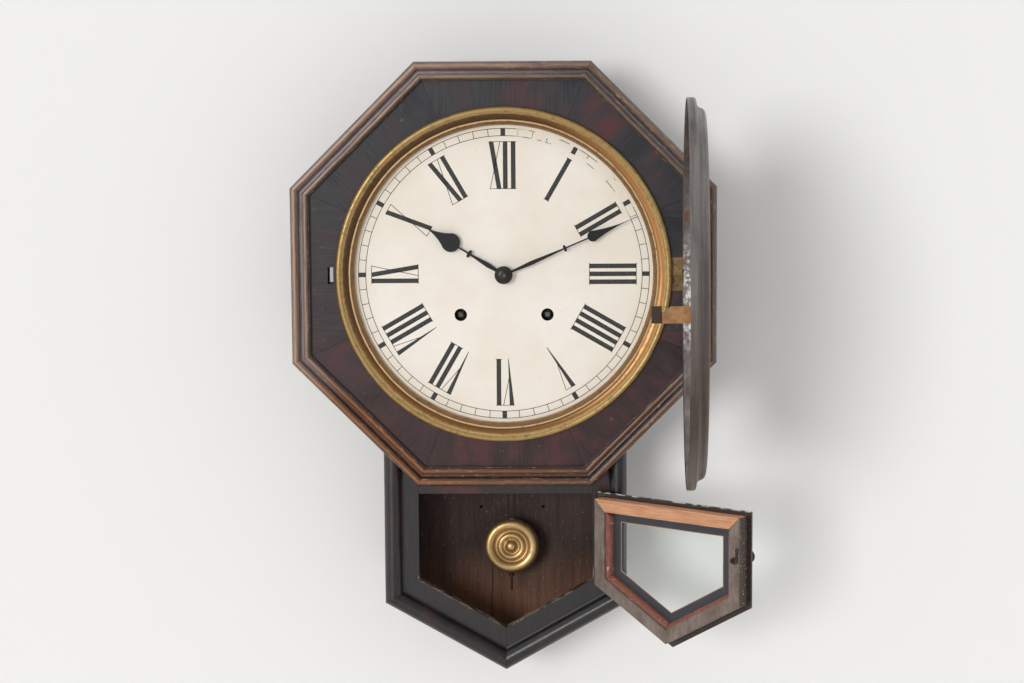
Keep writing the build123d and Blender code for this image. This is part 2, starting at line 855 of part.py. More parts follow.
def draw_door_moulding():
    w, back = door_moulding_w, door_lip_back
    with BuildLine() as section:
        Line((0, back), (0, back + 1.9))
        Line((0, back + 1.9), (0.8, back + 2.2))
        Line((0.8, back + 2.2), (0.8, back + 3.4))
        ThreePointArc((0.8, back + 3.4), (1.6, back + 4.6), (3.4, door_front))
        Line((3.4, door_front), (w / 2 + 3, door_front))
        ThreePointArc((w / 2 + 3, door_front), (w - 4, back + 3.6), (w, back + 1.4))
        Line((w, back + 1.4), (w, back))
        Line((w, back), (0, back))
    make_face(section.edges())


def cut_latch_hole():
    rod(latch_x, latch_z, latch_shaft_r + running_fit, door_back, door_front, mode=Mode.SUBTRACT)


door_rails = mitred_bars(
    door_outline(0), door_outline(door_rail_w), range(5), draw_door_rail, door_lip_back
)
with BuildPart() as door_frame:
    add(door_rails)
    cut_latch_hole()
    for z in door_hinge_heights:
        slab(
            door_half_width - 0.7,
            door_half_width,
            z - door_hinge_half,
            z + door_hinge_half,
            door_back + 2,
            door_lip_back,
            mode=Mode.SUBTRACT,
        )
door_frame.part = door_frame.part.rotate(door_axis, door_open)
door_frame.part.label = "door_frame"
export_step(door_frame.part, "parts/door_frame.step")

door_mouldings = mitred_bars(
    door_outline(-door_lip),
    door_outline(door_moulding_w - door_lip),
    range(5),
    draw_door_moulding,
    door_front + 1,
)
with BuildPart() as door_moulding:
    add(door_mouldings)
    cut_latch_hole()
door_moulding.part = door_moulding.part.rotate(door_axis, door_open)
door_moulding.part.label = "door_moulding"
export_step(door_moulding.part, "parts/door_moulding.step")

glass_inset = door_rail_w + 0.6
door_glass_back = door_lip_back - close_fit - door_glass_t
with BuildPart() as door_glass:
    with BuildSketch(Plane.XZ.offset(door_glass_back)):
        closed_outline(door_outline(glass_inset))
    extrude(amount=door_glass_t)
door_glass.part = door_glass.part.rotate(door_axis, door_open)
door_glass.part.label = "door_glass"
export_step(door_glass.part, "parts/door_glass.step")


def draw_slip():
    low, high = door_back + 2.4, door_glass_back - close_fit
    with BuildLine() as section:
        Line((0, low), (0, high))
        Line((0, high), (slip_w, high))
        Line((slip_w, high), (slip_w, high - 1))
        ThreePointArc((slip_w, high - 1), (3.9, low + 2.6), (1.2, low))
        Line((1.2, low), (0, low))
    make_face(section.edges())


slips = mitred_bars(
    door_outline(door_rail_w + close_fit),
    door_outline(door_rail_w + slip_w),
    range(1, 5),
    draw_slip,
    door_lip_back,
)
with BuildPart() as door_glazing_slips:
    add(slips)
door_glazing_slips.part = door_glazing_slips.part.rotate(door_axis, door_open)
door_glazing_slips.part.label = "door_glazing_slips"
export_step(door_glazing_slips.part, "parts/door_glazing_slips.step")

# Door hinges: the fixed leaf lies on the flat frame, the moving one is cranked round the lip
lip_edge = door_half_width + door_lip
fixed_web_x = door_hinge_x + door_barrel_r
door_screw_x = (fixed_web_x + door_hinge_leaf_reach) / 2
door_screw = countersunk(1.1, 1.9, trunk_frame_front + leaf_t - 0.1, 9)
door_screw_cut = countersunk(1.1, 1.9, trunk_frame_front + leaf_t - 0.1, 9, running_fit)
door_screw_places = [(door_screw_x, z + s * 6) for z in door_hinge_heights for s in (-1, 1)]
with BuildPart() as door_hinge_fixed_leaves:
    for z in door_hinge_heights:
        for low, high in (
            (z - door_hinge_half, z - door_knuckle_half - 0.3),
            (z + door_knuckle_half + 0.3, z + door_hinge_half),
        ):
            slab(fixed_web_x - leaf_t, fixed_web_x, low, high, trunk_frame_front, door_axis_depth)
            post(door_hinge_x, door_axis_depth, door_barrel_r, low, high)
        slab(
            fixed_web_x - leaf_t,
            door_hinge_leaf_reach,
            z - door_hinge_half,
            z + door_hinge_half,
            trunk_frame_front,
            trunk_frame_front + leaf_t,
        )
        post(
            door_hinge_x,
            door_axis_depth,
            door_pin_r + close_fit,
            z - door_hinge_half,
            z + door_hinge_half,
            mode=Mode.SUBTRACT,
        )
    for x, z in door_screw_places:
        turned(door_screw_cut, x, z, mode=Mode.SUBTRACT)
with BuildPart() as drilled_trunk_frame:
    add(trunk_front_frame.part)
    for x, z in door_screw_places:
        turned(door_screw_cut, x, z, mode=Mode.SUBTRACT)
drilled_trunk_frame.part.label = "trunk_front_frame"
export_step(drilled_trunk_frame.part, "parts/trunk_front_frame.step")
door_hinge_fixed_leaves.part.label = "door_hinge_fixed_leaves"
export_step(door_hinge_fixed_leaves.part, "parts/door_hinge_fixed_leaves.step")
with BuildPart() as hinge_pins:
    post(bezel_hinge_x, bezel_axis_depth, bezel_pin_r, -bezel_hinge_half, bezel_hinge_half)
    for z in door_hinge_heights:
        post(door_hinge_x, door_axis_depth, door_pin_r, z - door_hinge_half, z + door_hinge_half)
hinge_pins.part.label = "hinge_pins"
export_step(hinge_pins.part, "parts/hinge_pins.step")

with BuildPart() as door_hinge_moving_leaves:
    for z in door_hinge_heights:
        low, high = z - door_knuckle_half, z + door_knuckle_half
        leaf_back, leaf_front = door_lip_back - 0.7, door_lip_back - 0.05
        slab(
            door_half_width - 0.65,
            door_half_width,
            z - door_hinge_half,
            z + door_hinge_half,
            door_back + 2.05,
            leaf_front,
        )
        slab(door_half_width - 0.65, lip_edge + 0.8, low, high, leaf_back, leaf_front)
        slab(lip_edge + 0.1, lip_edge + 0.8, low, high, leaf_back, door_axis_depth)
        post(door_hinge_x, door_axis_depth, door_barrel_r, low, high)
        post(door_hinge_x, door_axis_depth, door_pin_r + running_fit, low, high, mode=Mode.SUBTRACT)
door_hinge_moving_leaves.part = door_hinge_moving_leaves.part.rotate(door_axis, door_open)
door_hinge_moving_leaves.part.label = "door_hinge_moving_leaves"
export_step(door_hinge_moving_leaves.part, "parts/door_hinge_moving_leaves.step")

# Wood screws of both hinges and of the hanger
with BuildPart() as wood_screws:
    for z in hanger_screw_heights:
        turned([(r, -d) for r, d in hanger_screw], z=z)
    for z in bezel_screw_heights:
        turned(bezel_screw, bezel_screw_x, z)
    for x, z in door_screw_places:
        turned(door_screw, x, z)
wood_screws.part.label = "wood_screws"
export_step(wood_screws.part, "parts/wood_screws.step")

# Latch of the lower door: turned knob in front, shaft through the rail, wire hook behind
hook_front = door_back - 0.8
hook_back = hook_front - 2
knob_front = door_front + latch_knob_h
with BuildPart() as latch_knob:
    with BuildSketch(profile_plane(latch_x, latch_z)):
        with BuildLine():
            base = door_front + close_fit
            Polyline(
                (0, hook_back - 0.6),
                (latch_shaft_r, hook_back - 0.6),
                (latch_shaft_r, base),
                (latch_knob_r * 0.62, base),
                (latch_knob_r * 0.62, base + 1),
                (latch_knob_r * 0.36, base + 3),
            )
            ThreePointArc(
                (latch_knob_r * 0.36, base + 3),
                (latch_knob_r, base + 7.6),
                (latch_knob_r * 0.45, knob_front - 0.8),
            )
            Polyline(
                (latch_knob_r * 0.45, knob_front - 0.8),
                (latch_knob_r * 0.2, knob_front),
                (0, knob_front),
                (0, hook_back - 0.6),
            )
        make_face()
    revolve(axis=arbor_axis(latch_x, latch_z))
latch_knob.part = latch_knob.part.rotate(door_axis, door_open)
latch_knob.part.label = "latch_knob"
export_step(latch_knob.part, "parts/latch_knob.step")

with BuildPart() as latch_hook:
    with BuildSketch(Plane.XZ.offset(hook_back)):
        with Locations((latch_x, latch_z)):
            Circle(3.2)
        with BuildLine():
            Line((latch_x, latch_z - 2.2), (latch_x - 1.6, latch_z - 2.2))
            ThreePointArc(
                (latch_x - 1.6, latch_z - 2.2),
                (latch_x - 3.3, latch_z - 1.5),
                (latch_x - 4, latch_z + 0.4),
            )
            Line((latch_x - 4, latch_z + 0.4), (latch_x - 4, latch_z + latch_hook_reach))
        trace(line_width=2)
        with Locations((latch_x, latch_z)):
            Circle(latch_shaft_r + close_fit, mode=Mode.SUBTRACT)
    extrude(amount=hook_front - hook_back)
latch_hook.part = latch_hook.part.rotate(door_axis, door_open)
latch_hook.part.label = "latch_hook"
export_step(latch_hook.part, "parts/latch_hook.step")

# Movement: places of the arbors, worked out from the wheels that mesh
centre = (0.0, 0.0)
great_teeth, great_module = 72, 1.0
second_pinion, second_teeth, second_module = 12, 60, 0.8
centre_pinion, centre_teeth, centre_module = 15, 72, 0.6
third_pinion, third_teeth, third_module = 8, 68, 0.5
escape_pinion, escape_teeth, escape_module = 8, 40, 0.75
fly_pinion = 8
cannon_teeth, minute_teeth, motion_module = 14, 42, 0.6
motion_pinion, hour_teeth = 12, 48
motion_distance = motion_module * (cannon_teeth + minute_teeth) / 2
hour_module = 2 * motion_distance / (motion_pinion + hour_teeth)


def meeting(a, a_distance, b, b_distance, side):
    """Point at given distances from two others, on the left of the line between them if side is 1."""
    span = hypot(b[0] - a[0], b[1] - a[1])
    along = (a_distance**2 - b_distance**2 + span**2) / (2 * span)
    across = side * (a_distance**2 - along**2) ** 0.5
    ux, uz = (b[0] - a[0]) / span, (b[1] - a[1]) / span
    return (a[0] + ux * along - uz * across, a[1] + uz * along + ux * across)


time_winding = (winding_x, winding_z)
strike_winding = (-winding_x, winding_z)
great_distance = great_module * (great_teeth + second_pinion) / 2
second_distance = second_module * (second_teeth + centre_pinion) / 2
second_arbor = meeting(time_winding, great_distance, centre, second_distance, -1)
strike_second_arbor = (-second_arbor[0], second_arbor[1])
escape_arbor = (pendulum_x, swing_z - 21)
third_distance = centre_module * (centre_teeth + third_pinion) / 2
escape_distance = third_module * (third_teeth + escape_pinion) / 2
third_arbor = meeting(centre, third_distance, escape_arbor, escape_distance, 1)
fly_distance = second_module * (second_teeth + fly_pinion) / 2
fly_arbor = (
    strike_second_arbor[0] + fly_distance * cos(radians(125)),
    strike_second_arbor[1] + fly_distance * sin(radians(125)),
)
minute_arbor = (motion_distance * cos(radians(-120)), motion_distance * sin(radians(-120)))
hammer_arbor = (hammer_x, hammer_z)
verge_arbor = (pendulum_x, swing_z)


def heading(a, b):
    return (Vector(b[0], b[1]) - Vector(a[0], a[1])).get_angle(Vector(1, 0)) * (1 if b[1] >= a[1] else -1)


def mesh_phase(followed, phase, teeth, own, own_teeth):
    """Phase of a wheel at own whose gap faces a tooth of the followed wheel on their line of centres."""
    line = heading(followed, own)
    lead = (line - phase) * teeth / own_teeth
    return line + 180 + lead + 180 / own_teeth


pivots = [second_arbor, strike_second_arbor, third_arbor, escape_arbor, fly_arbor]
spring_post_drop = mainspring_inner_r + mainspring_pitch / 2 * mainspring_half_turns + mainspring_t / 2 + 2.4
pillar_places = [(-50, 54), (50, 54), (-60, 4), (60, 4), (0, -72)]
foot_places = [(-50, 54), (50, 54), (-30, -74), (30, -74)]
with BuildPart() as movement_back_plate:
    with BuildSketch(Plane.XZ.offset(plate_back)):
        with Locations((0, (plate_top + plate_bottom) / 2)):
            RectangleRounded(2 * plate_half_width, plate_top - plate_bottom, 9)
        for x, z in ((-18, 44), (36, 28), (0, -33)):
            with Locations((x, z)):
                Circle(8, mode=Mode.SUBTRACT)
    extrude(amount=plate_t)
    for x, z in pivots:
        rod(x, z, arbor_r + running_fit, plate_back, plate_back + plate_t, mode=Mode.SUBTRACT)
    rod(*centre, centre_arbor_r + running_fit, plate_back, plate_back + plate_t, mode=Mode.SUBTRACT)
    for x, z in (time_winding, strike_winding):
        rod(x, z, winding_arbor_r - 1 + running_fit, plate_back, plate_back + plate_t, mode=Mode.SUBTRACT)
    for x, z in (verge_arbor, hammer_arbor):
        rod(x, z, rod_r + running_fit, plate_back, plate_back + plate_t, mode=Mode.SUBTRACT)
movement_back_plate.part.label = "movement_back_plate"
export_step(movement_back_plate.part, "parts/movement_back_plate.step")

with BuildPart() as movement_front_plate:
    with BuildSketch(Plane.XZ.offset(plate_front)):
        with Locations((0, (plate_top + plate_bottom) / 2)):
            RectangleRounded(2 * plate_half_width, plate_top - plate_bottom, 9)
        for x, z in ((-18, 44), (36, 28), (0, -33)):
            with Locations((x, z)):
                Circle(8, mode=Mode.SUBTRACT)
    extrude(amount=plate_t)
    for x, z in pivots:
        rod(x, z, arbor_r + running_fit, plate_front, movement_front, mode=Mode.SUBTRACT)
    rod(*centre, centre_arbor_r + running_fit, plate_front, movement_front, mode=Mode.SUBTRACT)
    for x, z in (time_winding, strike_winding):
        rod(x, z, winding_arbor_r + running_fit, plate_front, movement_front, mode=Mode.SUBTRACT)
    for x, z in (verge_arbor, hammer_arbor):
        rod(x, z, rod_r + running_fit, plate_front, movement_front, mode=Mode.SUBTRACT)
    rod(*minute_arbor, arbor_r, movement_front, movement_front + 7)
movement_front_plate.part.label = "movement_front_plate"
export_step(movement_front_plate.part, "parts/movement_front_plate.step")

mainspring_back = plate_back + plate_t + 7
with BuildPart() as movement_pillars:
    for x, z in pillar_places:
        rod(x, z, pillar_r, plate_back + plate_t, plate_front)
    for x in (-winding_x, winding_x):
        rod(x, winding_z - spring_post_drop, 2, mainspring_back, plate_front)
movement_pillars.part.label = "movement_pillars"
export_step(movement_pillars.part, "parts/movement_pillars.step")

with BuildPart() as movement_feet:
    for x, z in foot_places:
        rod(x, z, foot_r, back_board_t, plate_back)
        rod(x, z, foot_r * 2, back_board_t, back_board_t + 2)
movement_feet.part.label = "movement_feet"
export_step(movement_feet.part, "parts/movement_feet.step")

with BuildPart() as mainsprings:
    for x in (-winding_x, winding_x):
        with BuildSketch(Plane.XZ.offset(mainspring_back)):
            spiral(
                x,
                winding_z,
                mainspring_inner_r,
                mainspring_pitch,
                mainspring_half_turns,
                -90,
                mainspring_t,
            )
        extrude(amount=mainspring_w)
mainsprings.part.label = "mainsprings"
export_step(mainsprings.part, "parts/mainsprings.step")

# Wheel layers, from the back plate forward
great_back = plate_back + plate_t + 2
great_front = great_back + 2
ratchet_back = great_front + 0.4
third_back = plate_back + 18
centre_back = plate_back + 10
second_back = plate_front - 10
strike_second_back = plate_front - 5
escape_back = plate_back + plate_t + 2.5
fly_back = plate_back + 9
great_phase = heading(time_winding, second_arbor)
strike_great_phase = 180 - great_phase
second_phase = mesh_phase(time_winding, great_phase, great_teeth, second_arbor, second_pinion)
strike_second_phase = mesh_phase(
    strike_winding, strike_great_phase, great_teeth, strike_second_arbor, second_pinion
)
centre_phase = mesh_phase(second_arbor, second_phase, second_teeth, centre, centre_pinion)
third_phase = mesh_phase(centre, centre_phase, centre_teeth, third_arbor, third_pinion)
escape_phase = mesh_phase(third_arbor, third_phase, third_teeth, escape_arbor, escape_pinion)
fly_phase = mesh_phase(strike_second_arbor, strike_second_phase, second_teeth, fly_arbor, fly_pinion)
minute_phase = mesh_phase(centre, centre_phase, cannon_teeth, minute_arbor, minute_teeth)
hour_phase = mesh_phase(minute_arbor, minute_phase, motion_pinion, centre, hour_teeth)


def great_wheel(x, z, phase):
    """Great wheel with its click, free to turn on the winding arbor."""
    with BuildPart() as wheel:
        toothed(x, z, great_teeth, great_module, phase, great_back, great_front)
        crossed_out(x, z, 14, 30, 4, 6, great_back, great_front)
        rod(x, z, winding_arbor_r + running_fit, great_back, great_front, mode=Mode.SUBTRACT)
        slab(x - 3, x + 3, z + 11.3, z + 13.5, great_front, ratchet_back + 1.6)
    return wheel.part


def winding_arbor(x, z):
    """Arbor with a ratchet wheel behind the spring and a square for the key in front."""
    square_front = dial_seat - 1.5
    with BuildPart() as arbor:
        rod(x, z, winding_arbor_r - 1, plate_back + 0.2, great_back)
        rod(x, z, winding_arbor_r, great_back - 1, movement_front + 0.4)
        with BuildSketch(Plane.XZ.offset(movement_front)):
            with Locations((x, z)):
                Rectangle(winding_square, winding_square)
        extrude(amount=square_front - movement_front)
        toothed(x, z, 20, 0.95, 0, ratchet_back, ratchet_back + 1.6)
    return arbor.part


with BuildPart() as time_great_wheel:
    add(great_wheel(*time_winding, great_phase))
time_great_wheel.part.label = "time_great_wheel"
export_step(time_great_wheel.part, "parts/time_great_wheel.step")
with BuildPart() as strike_great_wheel:
    add(great_wheel(*strike_winding, strike_great_phase))
strike_great_wheel.part.label = "strike_great_wheel"
export_step(strike_great_wheel.part, "parts/strike_great_wheel.step")
with BuildPart() as time_winding_arbor:
    add(winding_arbor(*time_winding))
time_winding_arbor.part.label = "time_winding_arbor"
export_step(time_winding_arbor.part, "parts/time_winding_arbor.step")
with BuildPart() as strike_winding_arbor:
    add(winding_arbor(*strike_winding))
strike_winding_arbor.part.label = "strike_winding_arbor"
export_step(strike_winding_arbor.part, "parts/strike_winding_arbor.step")


def train_wheel(place, teeth, module, wheel_phase, back, pinion, pinion_module, pinion_back, pinion_front):
    """Wheel and pinion on one arbor that runs in both plates."""
    with BuildPart() as wheel:
        radius = teeth * module / 2
        toothed(*place, teeth, module, wheel_phase, back, back + 1.5)
        crossed_out(*place, radius * 0.28 + 1, radius - 3.2, 5, 2.4, back, back + 1.5)
        toothed(*place, pinion, pinion_module, wheel_phase, pinion_back, pinion_front)
        rod(*place, arbor_r, plate_back + 0.2, movement_front - 0.2)
    return wheel.part


with BuildPart() as second_wheel:
    add(
        train_wheel(
            second_arbor,
            second_teeth,
            second_module,
            second_phase,
            second_back,
            second_pinion,
            great_module,
            great_back - 1,
            great_front + 1,
        )
    )
second_wheel.part.label = "second_wheel"
export_step(second_wheel.part, "parts/second_wheel.step")
with BuildPart() as strike_second_wheel:
    add(
        train_wheel(
            strike_second_arbor,
            second_teeth,
            second_module,
            strike_second_phase,
            strike_second_back,
            second_pinion,
            great_module,
            great_back - 1,
            great_front + 1,
        )
    )
strike_second_wheel.part.label = "strike_second_wheel"
export_step(strike_second_wheel.part, "parts/strike_second_wheel.step")
with BuildPart() as third_wheel:
    add(
        train_wheel(
            third_arbor,
            third_teeth,
            third_module,
            third_phase,
            third_back,
            third_pinion,
            centre_module,
            centre_back - 2,
            centre_back + 4,
        )
    )
third_wheel.part.label = "third_wheel"
export_step(third_wheel.part, "parts/third_wheel.step")
with BuildPart() as escape_wheel:
    add(
        train_wheel(
            escape_arbor,
            escape_teeth,
            escape_module,
            escape_phase,
            escape_back,
            escape_pinion,
            third_module,
            third_back - 2,
            third_back + 4,
        )
    )
escape_wheel.part.label = "escape_wheel"
export_step(escape_wheel.part, "parts/escape_wheel.step")

# Fly: two vanes on a pinion arbor, which slow the strike
with BuildPart() as strike_fly:
    toothed(*fly_arbor, fly_pinion, second_module, fly_phase, strike_second_back - 2, strike_second_back + 4)
    rod(*fly_arbor, arbor_r, plate_back + 0.2, movement_front - 0.2)
    fly_x, fly_z = fly_arbor
    slab(fly_x - fly_reach, fly_x + fly_reach, fly_z - 0.4, fly_z + 0.4, fly_back, fly_back + 10)
strike_fly.part.label = "strike_fly"
export_step(strike_fly.part, "parts/strike_fly.step")

# Centre arbor with its wheel and pinion, and the cannon pinion that carries the minute hand
hour_hand_back = dial_front + 4.6
minute_hand_back = hour_hand_back + hand_t + 2.8
nut_back = minute_hand_back + hand_t + close_fit
with BuildPart() as centre_wheel:
    toothed(*centre, centre_teeth, centre_module, centre_phase, centre_back, centre_back + 1.5)
    crossed_out(*centre, 6, 18, 5, 2.6, centre_back, centre_back + 1.5)
    toothed(*centre, centre_pinion, second_module, centre_phase, second_back - 2, second_back + 4)
    rod(*centre, centre_arbor_r, plate_back + 0.2, nut_back + nut_h - 1.6)
centre_wheel.part.label = "centre_wheel"
export_step(centre_wheel.part, "parts/centre_wheel.step")
cannon_back = movement_front + 1
hour_wheel_back = movement_front + 3.5
with BuildPart() as cannon_pinion:
    toothed(*centre, cannon_teeth, motion_module, centre_phase, cannon_back, cannon_back + 1.5)
    rod(*centre, cannon_r, cannon_back, minute_hand_back + hand_t)
    rod(*centre, centre_arbor_r + close_fit, cannon_back, minute_hand_back + hand_t, mode=Mode.SUBTRACT)
cannon_pinion.part.label = "cannon_pinion"
export_step(cannon_pinion.part, "parts/cannon_pinion.step")
with BuildPart() as minute_wheel:
    toothed(*minute_arbor, minute_teeth, motion_module, minute_phase, cannon_back, cannon_back + 1.5)
    toothed(*minute_arbor, motion_pinion, hour_module, minute_phase, cannon_back, hour_wheel_back + 2)
    rod(*minute_arbor, arbor_r + running_fit, cannon_back, hour_wheel_back + 2, mode=Mode.SUBTRACT)
minute_wheel.part.label = "minute_wheel"
export_step(minute_wheel.part, "parts/minute_wheel.step")
hour_bore_r = cannon_r + running_fit
hour_pipe_r = hour_bore_r + hour_pipe_wall
with BuildPart() as hour_wheel:
    toothed(*centre, hour_teeth, hour_module, hour_phase, hour_wheel_back, hour_wheel_back + 1.5)
    rod(*centre, hour_pipe_r, hour_wheel_back, hour_hand_back + hand_t)
    rod(*centre, hour_bore_r, hour_wheel_back, hour_hand_back + hand_t, mode=Mode.SUBTRACT)
hour_wheel.part.label = "hour_wheel"
export_step(hour_wheel.part, "parts/hour_wheel.step")


def hand(reach, collar, bulb, bulb_r, stem_w, boss_r, bore, back):
    """Blued steel hand along +Z: boss, swelling stem, small cross collar, pear-shaped bulb and point."""
    with BuildPart() as blade:
        with BuildSketch(Plane.XZ.offset(back)):
            Circle(boss_r)
            closed_outline([
                (-stem_w * 0.35, 0),
                (-stem_w, collar * 0.45),
                (-stem_w * 0.35, collar),
                (-stem_w * 0.35, bulb),
                (stem_w * 0.35, bulb),
                (stem_w * 0.35, collar),
                (stem_w, collar * 0.45),
                (stem_w * 0.35, 0),
            ])
            with Locations((0, collar)):
                Ellipse(stem_w * 1.7, stem_w * 0.8)
            with Locations((0, bulb)):
                Circle(bulb_r)
            tip_half = 0.45
            shoulder = (bulb_r * 0.9, bulb + bulb_r * 0.42)
            waist = (bulb_r * 0.3, bulb + (reach - bulb) * 0.4)
            with BuildLine() as point:
                Line((-shoulder[0], shoulder[1]), shoulder)
                ThreePointArc(shoulder, waist, (tip_half, reach))
                Line((tip_half, reach), (-tip_half, reach))
                ThreePointArc((-tip_half, reach), (-waist[0], waist[1]), (-shoulder[0], shoulder[1]))
            make_face(point.edges())
            Circle(bore, mode=Mode.SUBTRACT)
        extrude(amount=hand_t)
    return blade.part


minute_blade = hand(minute_reach, 68, 99, 5.6, 2.1, 6.5, cannon_r + close_fit, minute_hand_back)
hour_blade = hand(hour_reach, 41, 63, 9.6, 2.5, 7.5, hour_pipe_r + close_fit, hour_hand_back)
with BuildPart() as minute_hand:
    add(minute_blade.rotate(Axis.Y, minute_angle))
minute_hand.part.label = "minute_hand"
export_step(minute_hand.part, "parts/minute_hand.step")
with BuildPart() as hour_hand:
    add(hour_blade.rotate(Axis.Y, hour_angle))
hour_hand.part.label = "hour_hand"
export_step(hour_hand.part, "parts/hour_hand.step")
with BuildPart() as hand_nut:
    with BuildSketch(profile_plane()):
        with BuildLine():
            bore_r = centre_arbor_r + close_fit
            Line((bore_r, nut_back), (nut_r, nut_back))
            Line((nut_r, nut_back), (nut_r, nut_back + 0.6))
            ThreePointArc(
                (nut_r, nut_back + 0.6),
                (nut_r * 0.72, nut_back + nut_h * 0.76),
                (bore_r, nut_back + nut_h),
            )
            Line((bore_r, nut_back + nut_h), (bore_r, nut_back))
        make_face()
    revolve(axis=arbor_axis())
hand_nut.part.label = "hand_nut"
export_step(hand_nut.part, "parts/hand_nut.step")

# Verge: anchor pallets over the escape wheel, and a crutch whose fork steers the pendulum rod
anchor_reach = escape_teeth * escape_module / 2 + 2.2
fork_gap = rod_r + 0.15
crutch_back = pendulum_depth + 4.2
crutch_front = crutch_back + 1.6
fork_low, fork_high = 7.0, 9.0
with BuildPart() as verge:
    rod(*verge_arbor, rod_r, crutch_back, movement_front - 0.2)
    with BuildSketch(Plane.XZ.offset(escape_back)):
        for sign in (-1, 1):
            spread = radians(50)
            tip = (
                pendulum_x + sign * anchor_reach * sin(spread),
                escape_arbor[1] + anchor_reach * cos(spread),
            )
            knee = (tip[0] + sign * 1.5, tip[1] + 4.5)
            closed_outline([
                (pendulum_x, swing_z + 2.4),
                (knee[0], knee[1] + 1),
                (tip[0] + sign * 1.6, tip[1] + 0.6),
                tip,
                (knee[0] - sign * 2.4, knee[1] - 0.6),
                (pendulum_x, swing_z - 1.4),
            ])
    extrude(amount=1.5)
    slab(pendulum_x - 0.9, pendulum_x + 0.9, fork_low, swing_z, crutch_back, crutch_front)
    slab(
        pendulum_x - fork_gap - 0.9,
        pendulum_x + fork_gap + 0.9,
        fork_low,
        fork_high,
        crutch_back,
        crutch_front,
    )
    for sign in (-1, 1):
        low, high = sorted((pendulum_x + sign * fork_gap, pendulum_x + sign * (fork_gap + 0.9)))
        slab(low, high, fork_low, fork_high, pendulum_depth - 2, crutch_front)
verge.part.label = "verge"
export_step(verge.part, "parts/verge.step")

# Suspension: cock on the back plate, slit for a thin steel strip, and the clamp block on the rod
strip_back = pendulum_depth - spring_strip_w / 2
strip_front = pendulum_depth + spring_strip_w / 2
cock_low = swing_z + rod_r + 0.4
strip_top = cock_low + 2.4
with BuildPart() as suspension_cock:
    slab(pendulum_x - 8, pendulum_x + 8, cock_low, plate_top, plate_back - 3, plate_back)
    slab(pendulum_x - 3, pendulum_x + 3, cock_low, cock_low + 7, strip_back - 1.5, plate_back - 3)
    slab(
        pendulum_x - spring_strip_t / 2 - 0.35,
        pendulum_x + spring_strip_t / 2 + 0.35,
        cock_low,
        strip_top + 0.3,
        strip_back - 0.3,
        strip_front + 0.3,
        mode=Mode.SUBTRACT,
    )
suspension_cock.part.label = "suspension_cock"
export_step(suspension_cock.part, "parts/suspension_cock.step")
clamp_low, clamp_high = 24.0, 32.0
with BuildPart() as suspension_spring:
    slab(
        pendulum_x - spring_strip_t / 2,
        pendulum_x + spring_strip_t / 2,
        clamp_high,
        strip_top,
        strip_back,
        strip_front,
    )
suspension_spring.part.label = "suspension_spring"
export_step(suspension_spring.part, "parts/suspension_spring.step")

# Pendulum rod: iron wire, a stirrup round the top of the bob and a screwed end below it
with BuildPart() as pendulum_rod:
    slab(pendulum_x - 1.6, pendulum_x + 1.6, clamp_low, clamp_high, strip_back, strip_front)
    post(pendulum_x, pendulum_depth, rod_r, stirrup_top_z - stirrup_wire_r, clamp_low)
    with BuildLine(Plane.XZ.offset(pendulum_depth)) as stirrup_path:
        arch_z = stirrup_top_z - stirrup_half
        Line((pendulum_x - stirrup_half, stirrup_low_z + 1.5), (pendulum_x - stirrup_half, arch_z))
        ThreePointArc(
            (pendulum_x - stirrup_half, arch_z),
            (pendulum_x, stirrup_top_z),
            (pendulum_x + stirrup_half, arch_z),
        )
        Line((pendulum_x + stirrup_half, arch_z), (pendulum_x + stirrup_half, stirrup_low_z + 1.5))
    with BuildSketch(Plane(origin=stirrup_path.line @ 0, z_dir=stirrup_path.line % 0)):
        Circle(stirrup_wire_r)
    sweep()
    slab(
        pendulum_x - stirrup_half - stirrup_wire_r,
        pendulum_x + stirrup_half + stirrup_wire_r,
        stirrup_low_z,
        stirrup_low_z + 3,
        pendulum_depth - 1.2,
        pendulum_depth + 1.2,
    )
    post(pendulum_x, pendulum_depth, screw_rod_r, rod_end_z, stirrup_low_z)
pendulum_rod.part.label = "pendulum_rod"
export_step(pendulum_rod.part, "parts/pendulum_rod.step")

bob_back, bob_rim = pendulum_depth - bob_back_t, pendulum_depth + bob_front_t - 4
bob_front = pendulum_depth + bob_front_t
with BuildPart() as pendulum_bob:
    with BuildSketch(profile_plane(pendulum_x, bob_z)):
        with BuildLine():
            Polyline((0, bob_back), (bob_r - 1, bob_back), (bob_r, bob_back + 1), (bob_r, bob_rim - 1.5))
            rings = [
                (bob_r, bob_rim - 1.5),
                (bob_r - 5.4, bob_rim + 2.3),
                (bob_r - 11.6, bob_rim - 0.8),
                (bob_r - 12.8, bob_rim - 1.4),
                (bob_r - 14, bob_rim - 0.7),
                (bob_r - 17.2, bob_rim + 1.5),
                (bob_r - 20.4, bob_rim - 0.4),
                (bob_r - 21.3, bob_rim - 0.8),
                (bob_r - 22.2, bob_rim - 0.2),
                (3.6, bob_front - 0.7),
                (1, bob_front),
            ]
            for first in range(0, len(rings) - 2, 2):
                ThreePointArc(*rings[first : first + 3])
            Polyline((1, bob_front), (0, bob_front), (0, bob_back))
        make_face()
    revolve(axis=arbor_axis(pendulum_x, bob_z))
    post(
        pendulum_x,
        pendulum_depth,
        screw_rod_r + running_fit,
        bob_z - bob_r,
        bob_z + bob_r,
        mode=Mode.SUBTRACT,
    )
    slab(
        pendulum_x - stirrup_half - 1.4,
        pendulum_x + stirrup_half + 1.4,
        stirrup_low_z - 6,
        bob_z + bob_r + 1,
        pendulum_depth - 1.8,
        pendulum_depth + 1.8,
        mode=Mode.SUBTRACT,
    )
pendulum_bob.part.label = "pendulum_bob"
export_step(pendulum_bob.part, "parts/pendulum_bob.step")
nut_top = bob_z - bob_r - 0.1
